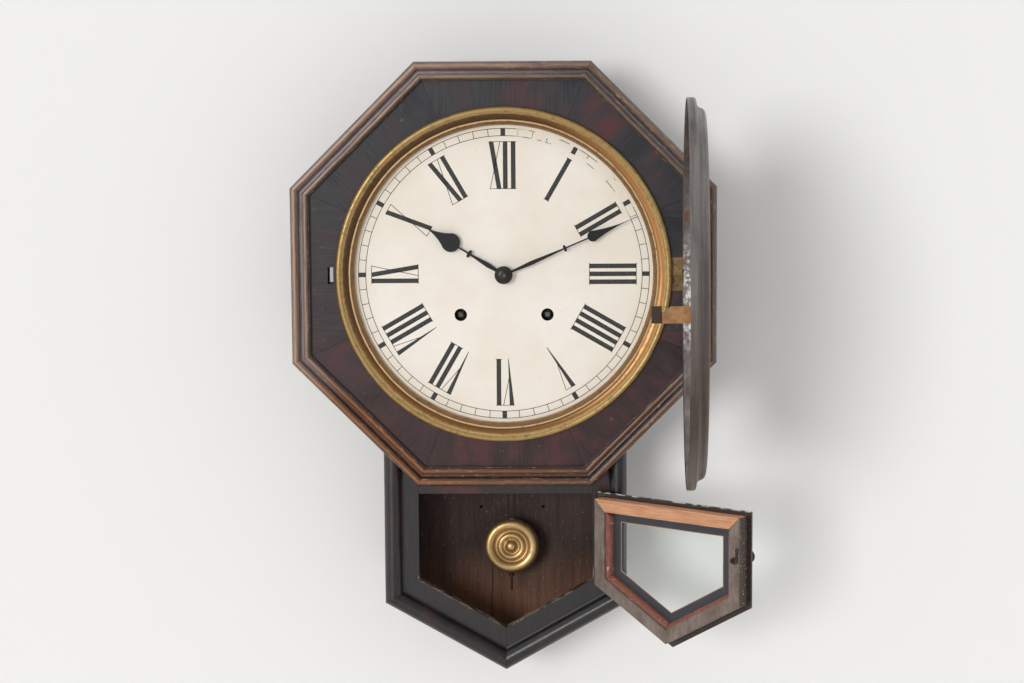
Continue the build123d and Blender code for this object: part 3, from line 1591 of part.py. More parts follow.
with BuildPart() as rating_nut:
    post(pendulum_x, pendulum_depth, rating_nut_r, nut_top - 3, nut_top)
    post(pendulum_x, pendulum_depth, screw_rod_r + running_fit, nut_top - 3, nut_top, mode=Mode.SUBTRACT)
rating_nut.part.label = "rating_nut"
export_step(rating_nut.part, "parts/rating_nut.step")

# Coil gong on its iron base, and the hammer that strikes it
gong_back = back_board_t + 11
gong_front = gong_back + gong_wire
gong_reach = gong_inner_r + gong_pitch / 2 * gong_half_turns + gong_wire / 2
with BuildPart() as gong_base:
    rod(gong_x, gong_z, 14, back_board_t, back_board_t + 3)
    rod(gong_x, gong_z, gong_inner_r - gong_wire / 2 - 0.3, back_board_t, gong_front + 1)
gong_base.part.label = "gong_base"
export_step(gong_base.part, "parts/gong_base.step")
with BuildPart() as gong_coil:
    with BuildSketch(Plane.XZ.offset(gong_back)):
        spiral(gong_x, gong_z, gong_inner_r, gong_pitch, gong_half_turns, 0, gong_wire)
    extrude(amount=gong_wire)
gong_coil.part.label = "gong_coil"
export_step(gong_coil.part, "parts/gong_coil.step")

head_left = gong_x + gong_reach + hammer_gap
hammer_head_x = head_left + 6
head_depth = gong_back + gong_wire / 2
arm_back = head_depth + 5
with BuildPart() as strike_hammer:
    rod(*hammer_arbor, rod_r, arm_back, movement_front - 0.2)
    with BuildSketch(Plane.XZ.offset(arm_back)):
        closed_outline([
            (hammer_x - 2, hammer_z + 2),
            (hammer_x + 2, hammer_z + 2),
            (hammer_head_x + 1, gong_z - 1),
            (hammer_head_x - 1, gong_z - 1),
        ])
    extrude(amount=2)
    rod(hammer_head_x, gong_z, 1.2, head_depth, arm_back + 2)
    with BuildSketch(Plane.YZ.offset(head_left)):
        with Locations((-head_depth, gong_z)):
            Circle(4.4)
    extrude(amount=12)
    slab(hammer_x - 1, hammer_x + 1, hammer_z, hammer_z + 9, plate_front - 8, plate_front - 6)
strike_hammer.part.label = "strike_hammer"
export_step(strike_hammer.part, "parts/strike_hammer.step")
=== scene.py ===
import json
from math import cos, pi, radians, sin, tan

import bmesh
import bpy
from mathutils import Matrix, Vector, noise


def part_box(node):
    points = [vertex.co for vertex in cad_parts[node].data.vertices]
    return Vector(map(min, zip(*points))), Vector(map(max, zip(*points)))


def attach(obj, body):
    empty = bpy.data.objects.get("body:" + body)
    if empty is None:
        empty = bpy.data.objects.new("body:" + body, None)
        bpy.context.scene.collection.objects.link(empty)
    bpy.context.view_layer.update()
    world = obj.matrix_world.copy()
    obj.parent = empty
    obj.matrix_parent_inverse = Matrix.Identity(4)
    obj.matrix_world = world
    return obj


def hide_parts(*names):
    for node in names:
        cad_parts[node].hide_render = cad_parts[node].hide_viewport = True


# Octagonal drop wall clock, its doors open. Metres, in the frame of the CAD model:
# +X right, +Y into the wall, +Z up, with the origin on the wall behind the middle of the dial.
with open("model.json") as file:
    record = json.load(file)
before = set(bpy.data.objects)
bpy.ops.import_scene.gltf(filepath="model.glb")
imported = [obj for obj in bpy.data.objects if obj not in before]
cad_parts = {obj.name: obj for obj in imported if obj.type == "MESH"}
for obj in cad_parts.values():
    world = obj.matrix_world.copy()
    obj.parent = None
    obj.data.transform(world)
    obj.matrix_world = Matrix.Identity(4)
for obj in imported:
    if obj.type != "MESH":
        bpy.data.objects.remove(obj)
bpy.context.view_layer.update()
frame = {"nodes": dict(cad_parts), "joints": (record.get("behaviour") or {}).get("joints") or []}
MM = 0.001


def colour(value):
    """Linear colour from an sRGB value written as #rrggbb."""
    parts = [int(value[i : i + 2], 16) / 255 for i in (1, 3, 5)]
    linear = [c / 12.92 if c <= 0.04045 else ((c + 0.055) / 1.055) ** 2.4 for c in parts]
    return (*linear, 1.0)


def add(tree, kind, sockets=None, **settings):
    """Adds a shader node and sets its properties. Sockets get a link, a number or #rrggbb."""
    made = tree.nodes.new("ShaderNode" + kind)
    for key, value in settings.items():
        setattr(made, key, value)
    for key, value in (sockets or {}).items():
        if isinstance(value, bpy.types.NodeSocket):
            tree.links.new(value, made.inputs[key])
        else:
            made.inputs[key].default_value = colour(value) if isinstance(value, str) else value
    return made


def start(name):
    """A new material and its empty node tree."""
    material = bpy.data.materials.new(name)
    material.use_nodes = True
    material.node_tree.nodes.clear()
    return material, material.node_tree


def object_place(tree):
    """Object coordinates, which are metres in the frame, as every piece sits at the origin."""
    return add(tree, "TexCoord").outputs["Object"]


def math(tree, operation, a, b=0.0, c=0.0):
    """Result of a Math node."""
    return add(tree, "Math", {0: a, 1: b, 2: c}, operation=operation).outputs[0]


def split(tree, place=None):
    """The X, Y and Z of a place, each as its own socket."""
    return add(tree, "SeparateXYZ", {0: place or object_place(tree)}).outputs


def cloud(tree, size, stretch=(1, 1, 1), detail=5.0, place=None, rough=0.6):
    """Noise whose patches measure about this many millimetres, longer along a stretched axis."""
    scale = [1 / (size * MM * s) for s in stretch]
    mapped = add(tree, "Mapping", {"Vector": place or object_place(tree), "Scale": scale})
    sockets = {"Vector": mapped.outputs[0], "Scale": 1.0, "Detail": detail, "Roughness": rough}
    return add(tree, "TexNoise", sockets).outputs["Fac"]


def fade(tree, value, low, high, to_low=0.0, to_high=1.0):
    """Clamped change from to_low, where the value is low, to to_high, where it is high."""
    sockets = {"Value": value, "From Min": low, "From Max": high, "To Min": to_low, "To Max": to_high}
    return add(tree, "MapRange", sockets).outputs["Result"]


def blend(tree, amount, under, over):
    """Colour over laid on colour under by an amount from 0 to 1."""
    return add(tree, "Mix", {0: amount, 6: under, 7: over}, data_type="RGBA").outputs[2]


def ramp(tree, value, stops):
    """Colours at the given values, blended between."""
    first, last = stops[0][0], stops[-1][0]
    made = add(tree, "ValToRGB", {0: fade(tree, value, first, last)})
    for index, (where, shade) in enumerate(stops):
        place = (where - first) / (last - first)
        mark = made.color_ramp.elements[index] if index < 2 else made.color_ramp.elements.new(place)
        mark.position = place
        mark.color = colour(shade)
    return made.outputs[0]


def flat_place(tree):
    """Object coordinates without their depth."""
    x, _, z = split(tree)
    return add(tree, "CombineXYZ", {0: x, 2: z}).outputs[0]


def dial_radius(tree):
    """Distance from the dial's axis."""
    return add(tree, "VectorMath", {0: flat_place(tree)}, operation="LENGTH").outputs["Value"]


def swing(joint_name):
    """Pivot of a door and the angle it is stored open by, as its lower limit shuts it."""
    joint = next(item for item in frame["joints"] if item["name"] == joint_name)
    return Vector(joint["pos_m"]), radians(-joint["range_deg"][0])


def shut_place(tree, joint_name):
    """Shader coordinates of a door as if it were shut."""
    pivot, angle = swing(joint_name)
    sockets = {"Vector": object_place(tree), "Center": tuple(pivot), "Angle": -angle}
    return add(tree, "VectorRotate", sockets, rotation_type="Z_AXIS").outputs[0]


def surface(material, tree, shader):
    """Makes a shader the material's surface."""
    output = add(tree, "OutputMaterial")
    tree.links.new(shader.outputs[0], output.inputs["Surface"])
    return material


def finish(material, tree, base, rough, height=None, depth=0.1, metal=0.0, coat=0.0):
    """Principled surface; height is a bump, and depth its size in millimetres."""
    shader = add(tree, "BsdfPrincipled", {"Base Color": base, "Roughness": rough, "Metallic": metal})
    shader.inputs["Coat Weight"].default_value = coat
    shader.inputs["Coat Roughness"].default_value = 0.25
    if height is not None:
        bump = add(tree, "Bump", {"Height": height, "Distance": depth * MM, "Strength": 1.0})
        tree.links.new(bump.outputs[0], shader.inputs["Normal"])
    return surface(material, tree, shader)


def dress(material, *names):
    """Gives CAD nodes a material."""
    for name in names:
        for held in frame["nodes"][name].material_slots:
            held.material = material


def piece(name, mesh, material, body):
    """Turns a bmesh into a piece of the clock that rides on a body."""
    data = bpy.data.meshes.new(name)
    mesh.to_mesh(data)
    mesh.free()
    data.materials.append(material)
    made = bpy.data.objects.new(name, data)
    bpy.context.scene.collection.objects.link(made)
    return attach(made, body)


# Pine of the box and of the back of the head: reddish brown, dusty, its grain upright.
# The back board is lighter and more orange towards the bottom, with one short drying crack.
crack_x, crack_wander = -21 * MM, 6 * MM


def old_pine(name, low_band):
    """Low band is 1 for the board that is lighter and cracked low down, and 0 for the others."""
    material, tree = start(name)
    x, _, z = split(tree)
    grain = cloud(tree, 2.2, (1, 1, 26), 6)
    patch = cloud(tree, 60, (1, 1, 3), 4)
    dust = fade(tree, cloud(tree, 2.6, detail=8), 0.62, 0.7)
    base = blend(tree, fade(tree, grain, 0.35, 0.65), "#33231e", "#4a332a")
    base = blend(tree, fade(tree, patch, 0.4, 0.7, 0, 0.7), base, "#2a1d1a")
    lower = math(tree, "MULTIPLY", fade(tree, z, -0.3, -0.36), low_band)
    orange = blend(tree, fade(tree, grain, 0.3, 0.7), "#5c3a28", "#7c5236")
    base = blend(tree, lower, base, orange)
    wander = math(tree, "MULTIPLY_ADD", cloud(tree, 40, detail=3), crack_wander, crack_x)
    gap = math(tree, "ABSOLUTE", math(tree, "SUBTRACT", x, wander))
    reach = fade(tree, z, -0.31, -0.33, 0, low_band)
    crack = math(tree, "MULTIPLY", fade(tree, gap, 0.0006, 0.0001), reach)
    base = blend(tree, crack, base, "#1a110d")
    base = blend(tree, math(tree, "MULTIPLY", dust, 0.55), base, "#a8988a")
    raised = math(tree, "MULTIPLY_ADD", dust, 0.3, grain)
    height = math(tree, "SUBTRACT", raised, math(tree, "MULTIPLY", crack, 3.0))
    return finish(material, tree, base, fade(tree, patch, 0.3, 0.7, 0.6, 0.85), height, 0.25)


dress(old_pine("Pine_back_board", 1.0), "back_board")
dress(
    old_pine("Pine_boards", 0.0),
    "case_side_left",
    "case_side_right",
    "case_top_board",
    "case_bottom_boards",
    "head_board",
)


# Half of the octagon's width over its flats, and how far each sector's pattern lies from the next
octagon_half = 216 * MM
sector_shift = 0.37


# Veneer of the octagon: eight pieces, each with its grain square to its own side.
# The polish has gone black above and red-black below, with red patches and pale scuffs.
def octagon_place(tree):
    """Coordinates turned for each of the eight sectors: X along its side, Z outward."""
    place = object_place(tree)
    x, _, z = split(tree, place)
    around = math(tree, "ARCTAN2", x, z)
    number = math(tree, "ROUND", math(tree, "DIVIDE", around, pi / 4))
    sector = math(tree, "MULTIPLY", number, pi / 4)
    turn = add(tree, "VectorRotate", {"Vector": place, "Angle": sector}, rotation_type="Y_AXIS")
    turn.invert = True
    shift = add(tree, "CombineXYZ", {"Y": math(tree, "MULTIPLY", sector, sector_shift)}).outputs[0]
    return add(tree, "VectorMath", {0: turn.outputs[0], 1: shift}, operation="ADD").outputs[0]


def blackened_veneer(name, patches, patch_low):
    """Patches is their colour, and patch_low the noise value at which they begin."""
    material, tree = start(name)
    place = octagon_place(tree)
    x, _, z = split(tree)
    grain = cloud(tree, 1.3, (1, 1, 22), 6, place)
    broad = cloud(tree, 34, (1, 1, 1.8), 5, place)
    scuff = fade(tree, cloud(tree, 9, (1, 1, 1), 9), 0.66, 0.75)
    low = fade(tree, z, 0.02, -0.14)
    black = blend(tree, fade(tree, grain, 0.38, 0.62), "#18161a", "#2a262b")
    red = blend(tree, fade(tree, grain, 0.38, 0.62), "#1a0809", "#3a1315")
    base = blend(tree, low, black, red)
    right = math(tree, "SUBTRACT", x, math(tree, "MULTIPLY", z, 0.8))
    patch = fade(tree, broad, patch_low, patch_low + 0.16)
    share = math(tree, "MULTIPLY", patch, fade(tree, right, -0.25, 0.0, 0.15, 0.85))
    base = blend(tree, share, base, patches)
    base = blend(tree, math(tree, "MULTIPLY", scuff, 0.4), base, "#7c6f68")
    rough = fade(tree, broad, 0.3, 0.7, 0.28, 0.5)
    height = math(tree, "MULTIPLY_ADD", scuff, 0.8, grain)
    return finish(material, tree, base, rough, height, 0.12)


dress(blackened_veneer("Head_veneer", "#521519", 0.5), "head_veneer")


# Moulding of the octagon: outer bead, cove and inner bead, polished brown and rubbed pale on the
# ridges, the pale ridges partly painted highlight and the dark creases and edges painted shade.
# The upper bars are lighter, with a pale cove, as painted light from the upper left. Bars on the
# right are darker with painted shade, and the lower ones red-brown with a golden speckle.
def head_moulding_polish():
    """Stops give the colour at a distance in from the octagon's edge, in metres."""
    material, tree = start("Head_moulding_polish")
    place = octagon_place(tree)
    x, _, z = split(tree)
    inward = math(tree, "SUBTRACT", octagon_half, split(tree, place)[2])
    along = cloud(tree, 1.6, (20, 1, 1), 7, place)
    chips = cloud(tree, 2.2, (3, 1, 1), 8, place)
    broad = cloud(tree, 40, detail=5)
    uneven = cloud(tree, 10, (3, 1, 1), 6, place)
    nearer = math(tree, "ADD", inward, -MM)
    wander = math(tree, "MULTIPLY_ADD", uneven, 2 * MM, nearer)
    # Pale ridge stops: rubbed wear and painted highlight. Dark edge and crease stops: painted shade.
    upper_stops = (
        (0, "#2a1f1b"),
        (0.0012, "#7a6457"),
        (0.0036, "#b69278"),
        (0.006, "#7a5d50"),
        (0.0082, "#5f5152"),
        (0.0108, "#867a7e"),
        (0.0128, "#937d74"),
        (0.0148, "#a08066"),
        (0.0172, "#5a443a"),
        (0.019, "#1c1412"),
    )
    lower_stops = (
        (0, "#2c1810"),
        (0.0012, "#4f2915"),
        (0.0036, "#9a5c26"),
        (0.0066, "#5c3016"),
        (0.0082, "#1c0f0b"),
        (0.0108, "#5e331a"),
        (0.0148, "#935624"),
        (0.0174, "#54301b"),
        (0.019, "#1c0f0b"),
    )
    # The upper bars' lighter stops, their cove most of all, are partly painted light from above.
    low = fade(tree, z, -0.09, -0.13)
    base = blend(tree, low, ramp(tree, wander, upper_stops), ramp(tree, wander, lower_stops))
    # Painted shade: the bars darken towards the right, away from the light.
    right = math(tree, "ADD", x, math(tree, "MULTIPLY", broad, 0.2))
    shade = fade(tree, right, 0.02, 0.2, 0.15, 0.6)
    base = blend(tree, shade, base, "#241a18")
    faded = math(tree, "MULTIPLY_ADD", low, -0.3, 0.7)
    streak = math(tree, "MULTIPLY", fade(tree, along, 0.5, 0.68), faded)
    base = blend(tree, streak, base, "#2b1c16")
    gold = fade(tree, chips, 0.58, 0.68, 0, 0.6)
    base = blend(tree, gold, base, "#b08a5a")
    rough = fade(tree, chips, 0.4, 0.7, 0.3, 0.5)
    return finish(material, tree, base, rough, along, 0.15, coat=0.35)


dress(head_moulding_polish(), "head_moulding")


# Moulding of the drop: a wide half-round in glossy, nearly black polish with dull red streaks
def drop_moulding_polish():
    material, tree = start("Drop_moulding_polish")
    grain = cloud(tree, 1.8, (1, 1, 16), 6)
    broad = cloud(tree, 30, (1, 1, 2), 6)
    chips = fade(tree, cloud(tree, 4, detail=9), 0.66, 0.72)
    base = blend(tree, fade(tree, grain, 0.35, 0.65), "#0f0c0d", "#1c1517")
    base = blend(tree, fade(tree, broad, 0.52, 0.66, 0, 0.7), base, "#38181c")
    base = blend(tree, math(tree, "MULTIPLY", chips, 0.4), base, "#8a7f78")
    rough = fade(tree, broad, 0.3, 0.7, 0.26, 0.4)
    return finish(material, tree, base, rough, grain, 0.12, coat=0.25)


dress(drop_moulding_polish(), "trunk_moulding")


# Flat frame round the drop's opening: dull black with dull red patches under the octagon,
# and a crumbled pale edge along the opening where the polish and filler have broken away.
opening_half = 90 * MM
drop_slope = radians(29.5)
opening_apex = -369.5 * MM


def drop_frame_polish():
    material, tree = start("Drop_frame_polish")
    x, _, z = split(tree)
    grain = cloud(tree, 1.5, (1, 1, 14), 6)
    broad = cloud(tree, 26, detail=5)
    base = blend(tree, fade(tree, grain, 0.35, 0.65), "#110e0f", "#221b1c")
    red = math(tree, "MULTIPLY", fade(tree, broad, 0.5, 0.62), fade(tree, z, -0.25, -0.225))
    base = blend(tree, red, base, "#4a1d20")
    across = math(tree, "ABSOLUTE", x)
    to_side = math(tree, "SUBTRACT", across, opening_half)
    above_apex = math(tree, "SUBTRACT", z, opening_apex)
    rise = math(tree, "MULTIPLY_ADD", across, -tan(drop_slope), above_apex)
    to_slope = math(tree, "MULTIPLY", rise, -cos(drop_slope))
    off = math(tree, "MAXIMUM", to_side, to_slope)
    ragged = math(tree, "MULTIPLY_ADD", cloud(tree, 4, detail=8), -0.0055, off)
    broken = fade(tree, cloud(tree, 14, detail=7), 0.46, 0.54)
    low = math(tree, "MULTIPLY", fade(tree, z, -0.3, -0.315), broken)
    edge = math(tree, "MULTIPLY", fade(tree, ragged, -0.0018, -0.0026), low)
    filler = blend(tree, fade(tree, grain, 0.4, 0.6), "#9d9080", "#6d5d4b")
    base = blend(tree, edge, base, filler)
    rough = fade(tree, edge, 0.0, 1.0, 0.32, 0.9)
    height = math(tree, "MULTIPLY_ADD", edge, 1.5, grain)
    return finish(material, tree, base, rough, height, 0.2, coat=0.25)


dress(drop_frame_polish(), "trunk_front_frame")


# Gilt ring: turned wood, banded from the dial outward by what is left of its bole and gold leaf,
# with thin cream lines of painted highlight on its bead edges. Its cove is painted dark at the
# upper left as painted shade and golden at the lower right as painted light.
def worn_gilding():
    """Stops give the colour at a distance from the dial's axis, in metres."""
    material, tree = start("Worn_gilding")
    x, _, z = split(tree)
    wander = math(tree, "MULTIPLY_ADD", cloud(tree, 12, detail=6), 0.0012, -0.0006)
    at = math(tree, "ADD", dial_radius(tree), wander)
    # The cream stops at 0.1515, 0.1562 and 0.1643 are painted highlights on the bead edges.
    stops = (
        (0.1515, "#c9b48c"),
        (0.1526, "#8a6844"),
        (0.156, "#7a5434"),
        (0.1562, "#d9c08c"),
        (0.1578, "#c4a066"),
        (0.158, "#5c3a1e"),
        (0.162, "#8a5c2e"),
        (0.1638, "#b08a4c"),
        (0.1643, "#e0cb96"),
        (0.1652, "#a58552"),
        (0.1685, "#ae8f58"),
        (0.1712, "#75592e"),
    )
    bands = ramp(tree, at, stops)
    grime = fade(tree, cloud(tree, 5, detail=8), 0.52, 0.68, 0, 0.5)
    base = blend(tree, grime, bands, "#4a331e")
    cove_start, cove_end = fade(tree, at, 0.1576, 0.158), fade(tree, at, 0.1643, 0.1636)
    cove = math(tree, "MULTIPLY", cove_start, cove_end)
    # Painted shade darkens the cove at the upper left, and painted light gilds it at the lower right.
    painted_shade_upper_left = fade(tree, math(tree, "SUBTRACT", z, x), 0.02, 0.16, 0, 0.65)
    base = blend(tree, math(tree, "MULTIPLY", cove, painted_shade_upper_left), base, "#2c1a0f")
    painted_light_lower_right = math(tree, "MULTIPLY", cove, fade(tree, x, 0.05, 0.15, 0, 0.6))
    base = blend(tree, painted_light_lower_right, base, "#c48a52")
    rough = fade(tree, grime, 0, 0.5, 0.3, 0.5)
    return finish(material, tree, base, rough, cloud(tree, 1.2, detail=6), 0.1, metal=0.45)


dress(worn_gilding(), "dial_trim_ring")


# Plain metals: aged brass, dark steel, black iron, and those of the hinges, bob, hands and latch,
# all dulled in broad patches and stained in spots.
def aged_metal(name, bright, dull, spots, metal, smooth, spot_share=0.6, size=9):
    """Spot share is the noise value at which the spots begin, and size theirs in millimetres."""
    material, tree = start(name)
    broad = cloud(tree, size * 3, detail=5)
    fine = cloud(tree, size / 6, detail=7)
    stain = fade(tree, cloud(tree, size, detail=8), spot_share, spot_share + 0.12)
    base = blend(tree, fade(tree, broad, 0.35, 0.65), bright, dull)
    base = blend(tree, math(tree, "MULTIPLY", stain, 0.8), base, spots)
    rough = math(tree, "MULTIPLY_ADD", stain, 0.25, smooth)
    height = math(tree, "MULTIPLY_ADD", stain, 0.6, fine)
    return finish(material, tree, base, rough, height, 0.05, metal)


dress(
    aged_metal("Aged_brass", "#c39a52", "#a87f42", "#5c4226", 0.85, 0.34),
    "hanger_plate",
    "dial_tacks",
    "movement_back_plate",
    "movement_pillars",
    "suspension_cock",
    "cannon_pinion",
    "hour_wheel",
    "strike_fly",
)
dress(
    aged_metal("Dark_steel", "#8b8884", "#6d6a66", "#4a3226", 0.8, 0.4),
    "mainsprings",
    "gong_coil",
    "suspension_spring",
    "strike_hammer",
    "verge",
)
dress(
    aged_metal("Black_iron", "#2a2623", "#1c1917", "#4b2f20", 0.5, 0.5),
    "movement_feet",
    "gong_base",
    "wood_screws",
    "hinge_pins",
    "pendulum_rod",
    "rating_nut",
)
dress(
    aged_metal("Arbor_steel", "#6b6762", "#3e3a36", "#241a14", 0.8, 0.36),
    "time_winding_arbor",
    "strike_winding_arbor",
)
dress(
    aged_metal("Hinge_brass", "#9a7c4c", "#6f5636", "#33261a", 0.4, 0.5, 0.52, 5),
    "bezel_hinge_fixed_leaf",
    "bezel_hinge_moving_leaf",
    "door_hinge_fixed_leaves",
    "door_hinge_moving_leaves",
)
dress(
    aged_metal("Pendulum_brass", "#cbab7a", "#b08f60", "#6b5138", 0.85, 0.36, 0.6, 14),
    "pendulum_bob",
)
dress(
    aged_metal("Black_hands", "#141414", "#0c0b0b", "#2b1d15", 0.3, 0.42, 0.7),
    "minute_hand",
    "hour_hand",
)
dress(aged_metal("Dark_nut", "#3d3a37", "#2b2927", "#15100c", 0.6, 0.35), "hand_nut")
dress(aged_metal("Latch_iron", "#1d1815", "#120f0d", "#3c2618", 0.4, 0.38), "latch_knob")
dress(aged_metal("Latch_hook_wire", "#44342b", "#33251e", "#6a4630", 0.3, 0.55), "latch_hook")


# Brass of the front plate and the wheels. The plate is painted near black round the winding
# arbors, painted shade seen down the dial's winding holes, and each wheel sits on a steel arbor.
def spotted_brass(name, spots, radius, stain, metal):
    """Brass that is another colour within this many millimetres of the axes of some nodes."""
    material, tree = start(name)
    share = 0.0
    for node in spots:
        low_corner, high_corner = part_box(node)
        middle = (low_corner + high_corner) / 2
        sockets = {0: flat_place(tree), 1: (middle.x, 0, middle.z)}
        far = add(tree, "VectorMath", sockets, operation="DISTANCE")
        near = fade(tree, far.outputs["Value"], (radius + 0.4) * MM, radius * MM)
        share = math(tree, "MAXIMUM", near, share)
    fine = cloud(tree, 1.5, detail=7)
    tarnish = fade(tree, cloud(tree, 9, detail=8), 0.5, 0.7)
    base = blend(tree, tarnish, "#c39a52", "#8a6836")
    # Near the axes: painted shade on the front plate, and the steel of the arbors on the wheels.
    base = blend(tree, share, base, stain)
    rough = fade(tree, tarnish, 0, 1, 0.32, 0.55)
    return finish(material, tree, base, rough, fine, 0.05, metal)


winding_arbors = ("time_winding_arbor", "strike_winding_arbor")
shaded_plate = spotted_brass("Brass_plate_painted_hole_shade", winding_arbors, 11, "#0b0806", 0.4)
dress(shaded_plate, "movement_front_plate")
for node in (
    "centre_wheel",
    "minute_wheel",
    "time_great_wheel",
    "second_wheel",
    "third_wheel",
    "escape_wheel",
    "strike_great_wheel",
    "strike_second_wheel",
):
    dress(spotted_brass("Brass_" + node, (node,), 1.9, "#6f6c68", 0.85), node)


# Bezel: spun metal gone grey-brown, with turning lines round it and brown rust streaks.
# The lines are placed on the shut bezel and turned with it.
def bezel_metal():
    material, tree = start("Bezel_metal")
    x, y, z = split(tree, shut_place(tree, "bezel_hinge"))
    squares = math(tree, "MULTIPLY_ADD", x, x, math(tree, "MULTIPLY", z, z))
    across = math(tree, "POWER", squares, 0.5)
    around = math(tree, "MULTIPLY", math(tree, "ARCTAN2", x, z), 0.006)
    ring = add(tree, "CombineXYZ", {0: across, 1: y, 2: around}).outputs[0]
    lines = cloud(tree, 0.8, detail=6, place=ring)
    streaks = cloud(tree, 3.5, detail=7, place=ring)
    broad = cloud(tree, 40, detail=5)
    low = fade(tree, z, 0.08, -0.1)
    base = blend(tree, low, "#7b7775", "#5c4e44")
    step = fade(tree, y, -0.1135, -0.1155)
    front = math(tree, "MULTIPLY", step, fade(tree, z, 0.12, 0.0, 0, 0.5))
    base = blend(tree, front, base, "#4a3731")
    base = blend(tree, fade(tree, lines, 0.4, 0.7, 0, 0.5), base, "#554e4a")
    base = blend(tree, fade(tree, streaks, 0.5, 0.7, 0, 0.6), base, "#44362d")
    base = blend(tree, fade(tree, broad, 0.5, 0.7, 0, 0.4), base, "#2e2622")
    rough = fade(tree, streaks, 0.4, 0.7, 0.36, 0.6)
    return finish(material, tree, base, rough, lines, 0.03, 0.5)


dress(bezel_metal(), "bezel_rim")


# Glass: clear old panes with a little dust
def old_glass(name, tint):
    material, tree = start(name)
    dust = fade(tree, cloud(tree, 30, detail=8), 0.5, 0.8, 0.005, 0.03)
    clear = add(tree, "BsdfTransparent", {"Color": tint})
    gloss = add(tree, "BsdfGlossy", {"Color": "#ffffff", "Roughness": 0.03})
    haze = add(tree, "BsdfDiffuse", {"Color": "#cfc8bc"})
    fresnel = add(tree, "Fresnel", {"IOR": 1.3})
    pane = add(tree, "MixShader", {0: fresnel.outputs[0], 1: clear.outputs[0], 2: gloss.outputs[0]})
    dusty = add(tree, "MixShader", {0: dust, 1: pane.outputs[0], 2: haze.outputs[0]})
    return surface(material, tree, dusty)


dress(old_glass("Pane_glass", "#fafcfb"), "bezel_glass", "door_glass")


# Dial: cream enamel on metal, yellowed near the rim, with small stains
def dial_enamel():
    material, tree = start("Dial_enamel")
    rim = fade(tree, dial_radius(tree), 0.13, 0.155, 0.0, 0.35)
    broad = cloud(tree, 70, detail=5)
    speck = fade(tree, cloud(tree, 3.2, detail=9), 0.68, 0.74)
    base = blend(tree, fade(tree, broad, 0.35, 0.7), "#f3ebe1", "#ebe0d0")
    base = blend(tree, rim, base, "#dccbb0")
    base = blend(tree, math(tree, "MULTIPLY", speck, 0.35), base, "#a08b6a")
    rough = fade(tree, broad, 0.3, 0.7, 0.45, 0.6)
    return finish(material, tree, base, rough, speck, 0.03)


dress(dial_enamel(), "dial_plate")


# Dial print: Roman numerals, the minute track and its ticks, in black ink gone grey.
# Thin flat shapes just off the enamel. Part of the track has worn away at the upper right.
# Radii and widths are in millimetres.
ink_gap = 0.06 * MM
ink_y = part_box("dial_plate")[0].y - ink_gap
numeral_feet, numeral_heads = 87.0, 135.3
track_inner, track_outer = 141.0, 148.4
thick, hair = 4.7, 0.65
serif = 0.6
letter_widths = {"I": 8.1, "V": 11.5, "X": 12.5}
numerals = ("XII", "I", "II", "III", "IIII", "V", "VI", "VII", "VIII", "IX", "X", "XI")


def dial_stroke(mesh, turn, foot, head, foot_w, head_w):
    """Stroke from a foot to a head, each sideways and outward in mm, on a line turned from 12."""
    corners = []
    for (side, radius), half in ((foot, -foot_w), (foot, foot_w), (head, head_w), (head, -head_w)):
        across = side + half / 2
        place = (across * cos(turn) + radius * sin(turn), radius * cos(turn) - across * sin(turn))
        corners.append(mesh.verts.new((place[0] * MM, ink_y, place[1] * MM)))
    mesh.faces.new(corners)


def dial_circle(mesh, radius, width):
    """Flat ring round the dial."""
    ends = [mesh.verts.new(((radius + side * width / 2) * MM, ink_y, 0)) for side in (-1, 1)]
    edge = mesh.edges.new(ends)
    geom = ends + [edge]
    bmesh.ops.spin(mesh, geom=geom, axis=(0, 1, 0), cent=(0, 0, 0), angle=2 * pi, steps=240)


def numeral(mesh, hour, letters):
    """Numeral whose foot is turned to the middle: thick strokes, hairlines and two serifs."""
    turn = hour * pi / 6
    width = sum(letter_widths[letter] for letter in letters)
    at = -width / 2
    for letter in letters:
        middle = at + letter_widths[letter] / 2
        lean = letter_widths[letter] / 2 - 2.2
        if letter == "I":
            foot, head = (middle, numeral_feet), (middle, numeral_heads)
            dial_stroke(mesh, turn, foot, head, thick, thick)
        elif letter == "X":
            foot, head = (middle + lean, numeral_feet), (middle - lean, numeral_heads)
            dial_stroke(mesh, turn, foot, head, thick, thick)
            foot, head = (middle - lean - 1, numeral_feet), (middle + lean + 1, numeral_heads)
            dial_stroke(mesh, turn, foot, head, hair, hair)
        else:
            foot, head = (middle, numeral_feet), (middle - lean, numeral_heads)
            dial_stroke(mesh, turn, foot, head, 0.6, thick)
            foot, head = (middle - 0.6, numeral_feet + 20), (middle + lean + 1.6, numeral_heads)
            dial_stroke(mesh, turn, foot, head, hair, hair)
        at += letter_widths[letter]
    reach = width / 2 - 0.8
    # A V at the left comes to a point, so the serif at the foot starts after it
    foot_left = -reach + (letter_widths["V"] if letters[0] == "V" else 0)
    if foot_left < reach:
        middle, span = (foot_left + reach) / 2, reach - foot_left
        foot, head = (middle, numeral_feet), (middle, numeral_feet + serif)
        dial_stroke(mesh, turn, foot, head, span, span)
    foot, head = (0, numeral_heads - serif), (0, numeral_heads)
    dial_stroke(mesh, turn, foot, head, 2 * reach, 2 * reach)


def ink(name, share):
    """Share is how far a worn patch, at the upper right, has gone."""
    material, tree = start(name)
    x, _, z = split(tree)
    worn = fade(tree, cloud(tree, 16, detail=5), 0.44, 0.47)
    upper = fade(tree, z, 0.05, 0.08, 0, share)
    where = math(tree, "MULTIPLY", fade(tree, x, 0.0, 0.03), upper)
    gone = math(tree, "MULTIPLY", worn, where)
    fine = fade(tree, cloud(tree, 2, detail=6), 0.4, 0.7)
    base = blend(tree, fine, "#242423", "#403e3a")
    return finish(material, tree, blend(tree, gone, base, "#f0e7db"), 0.6)


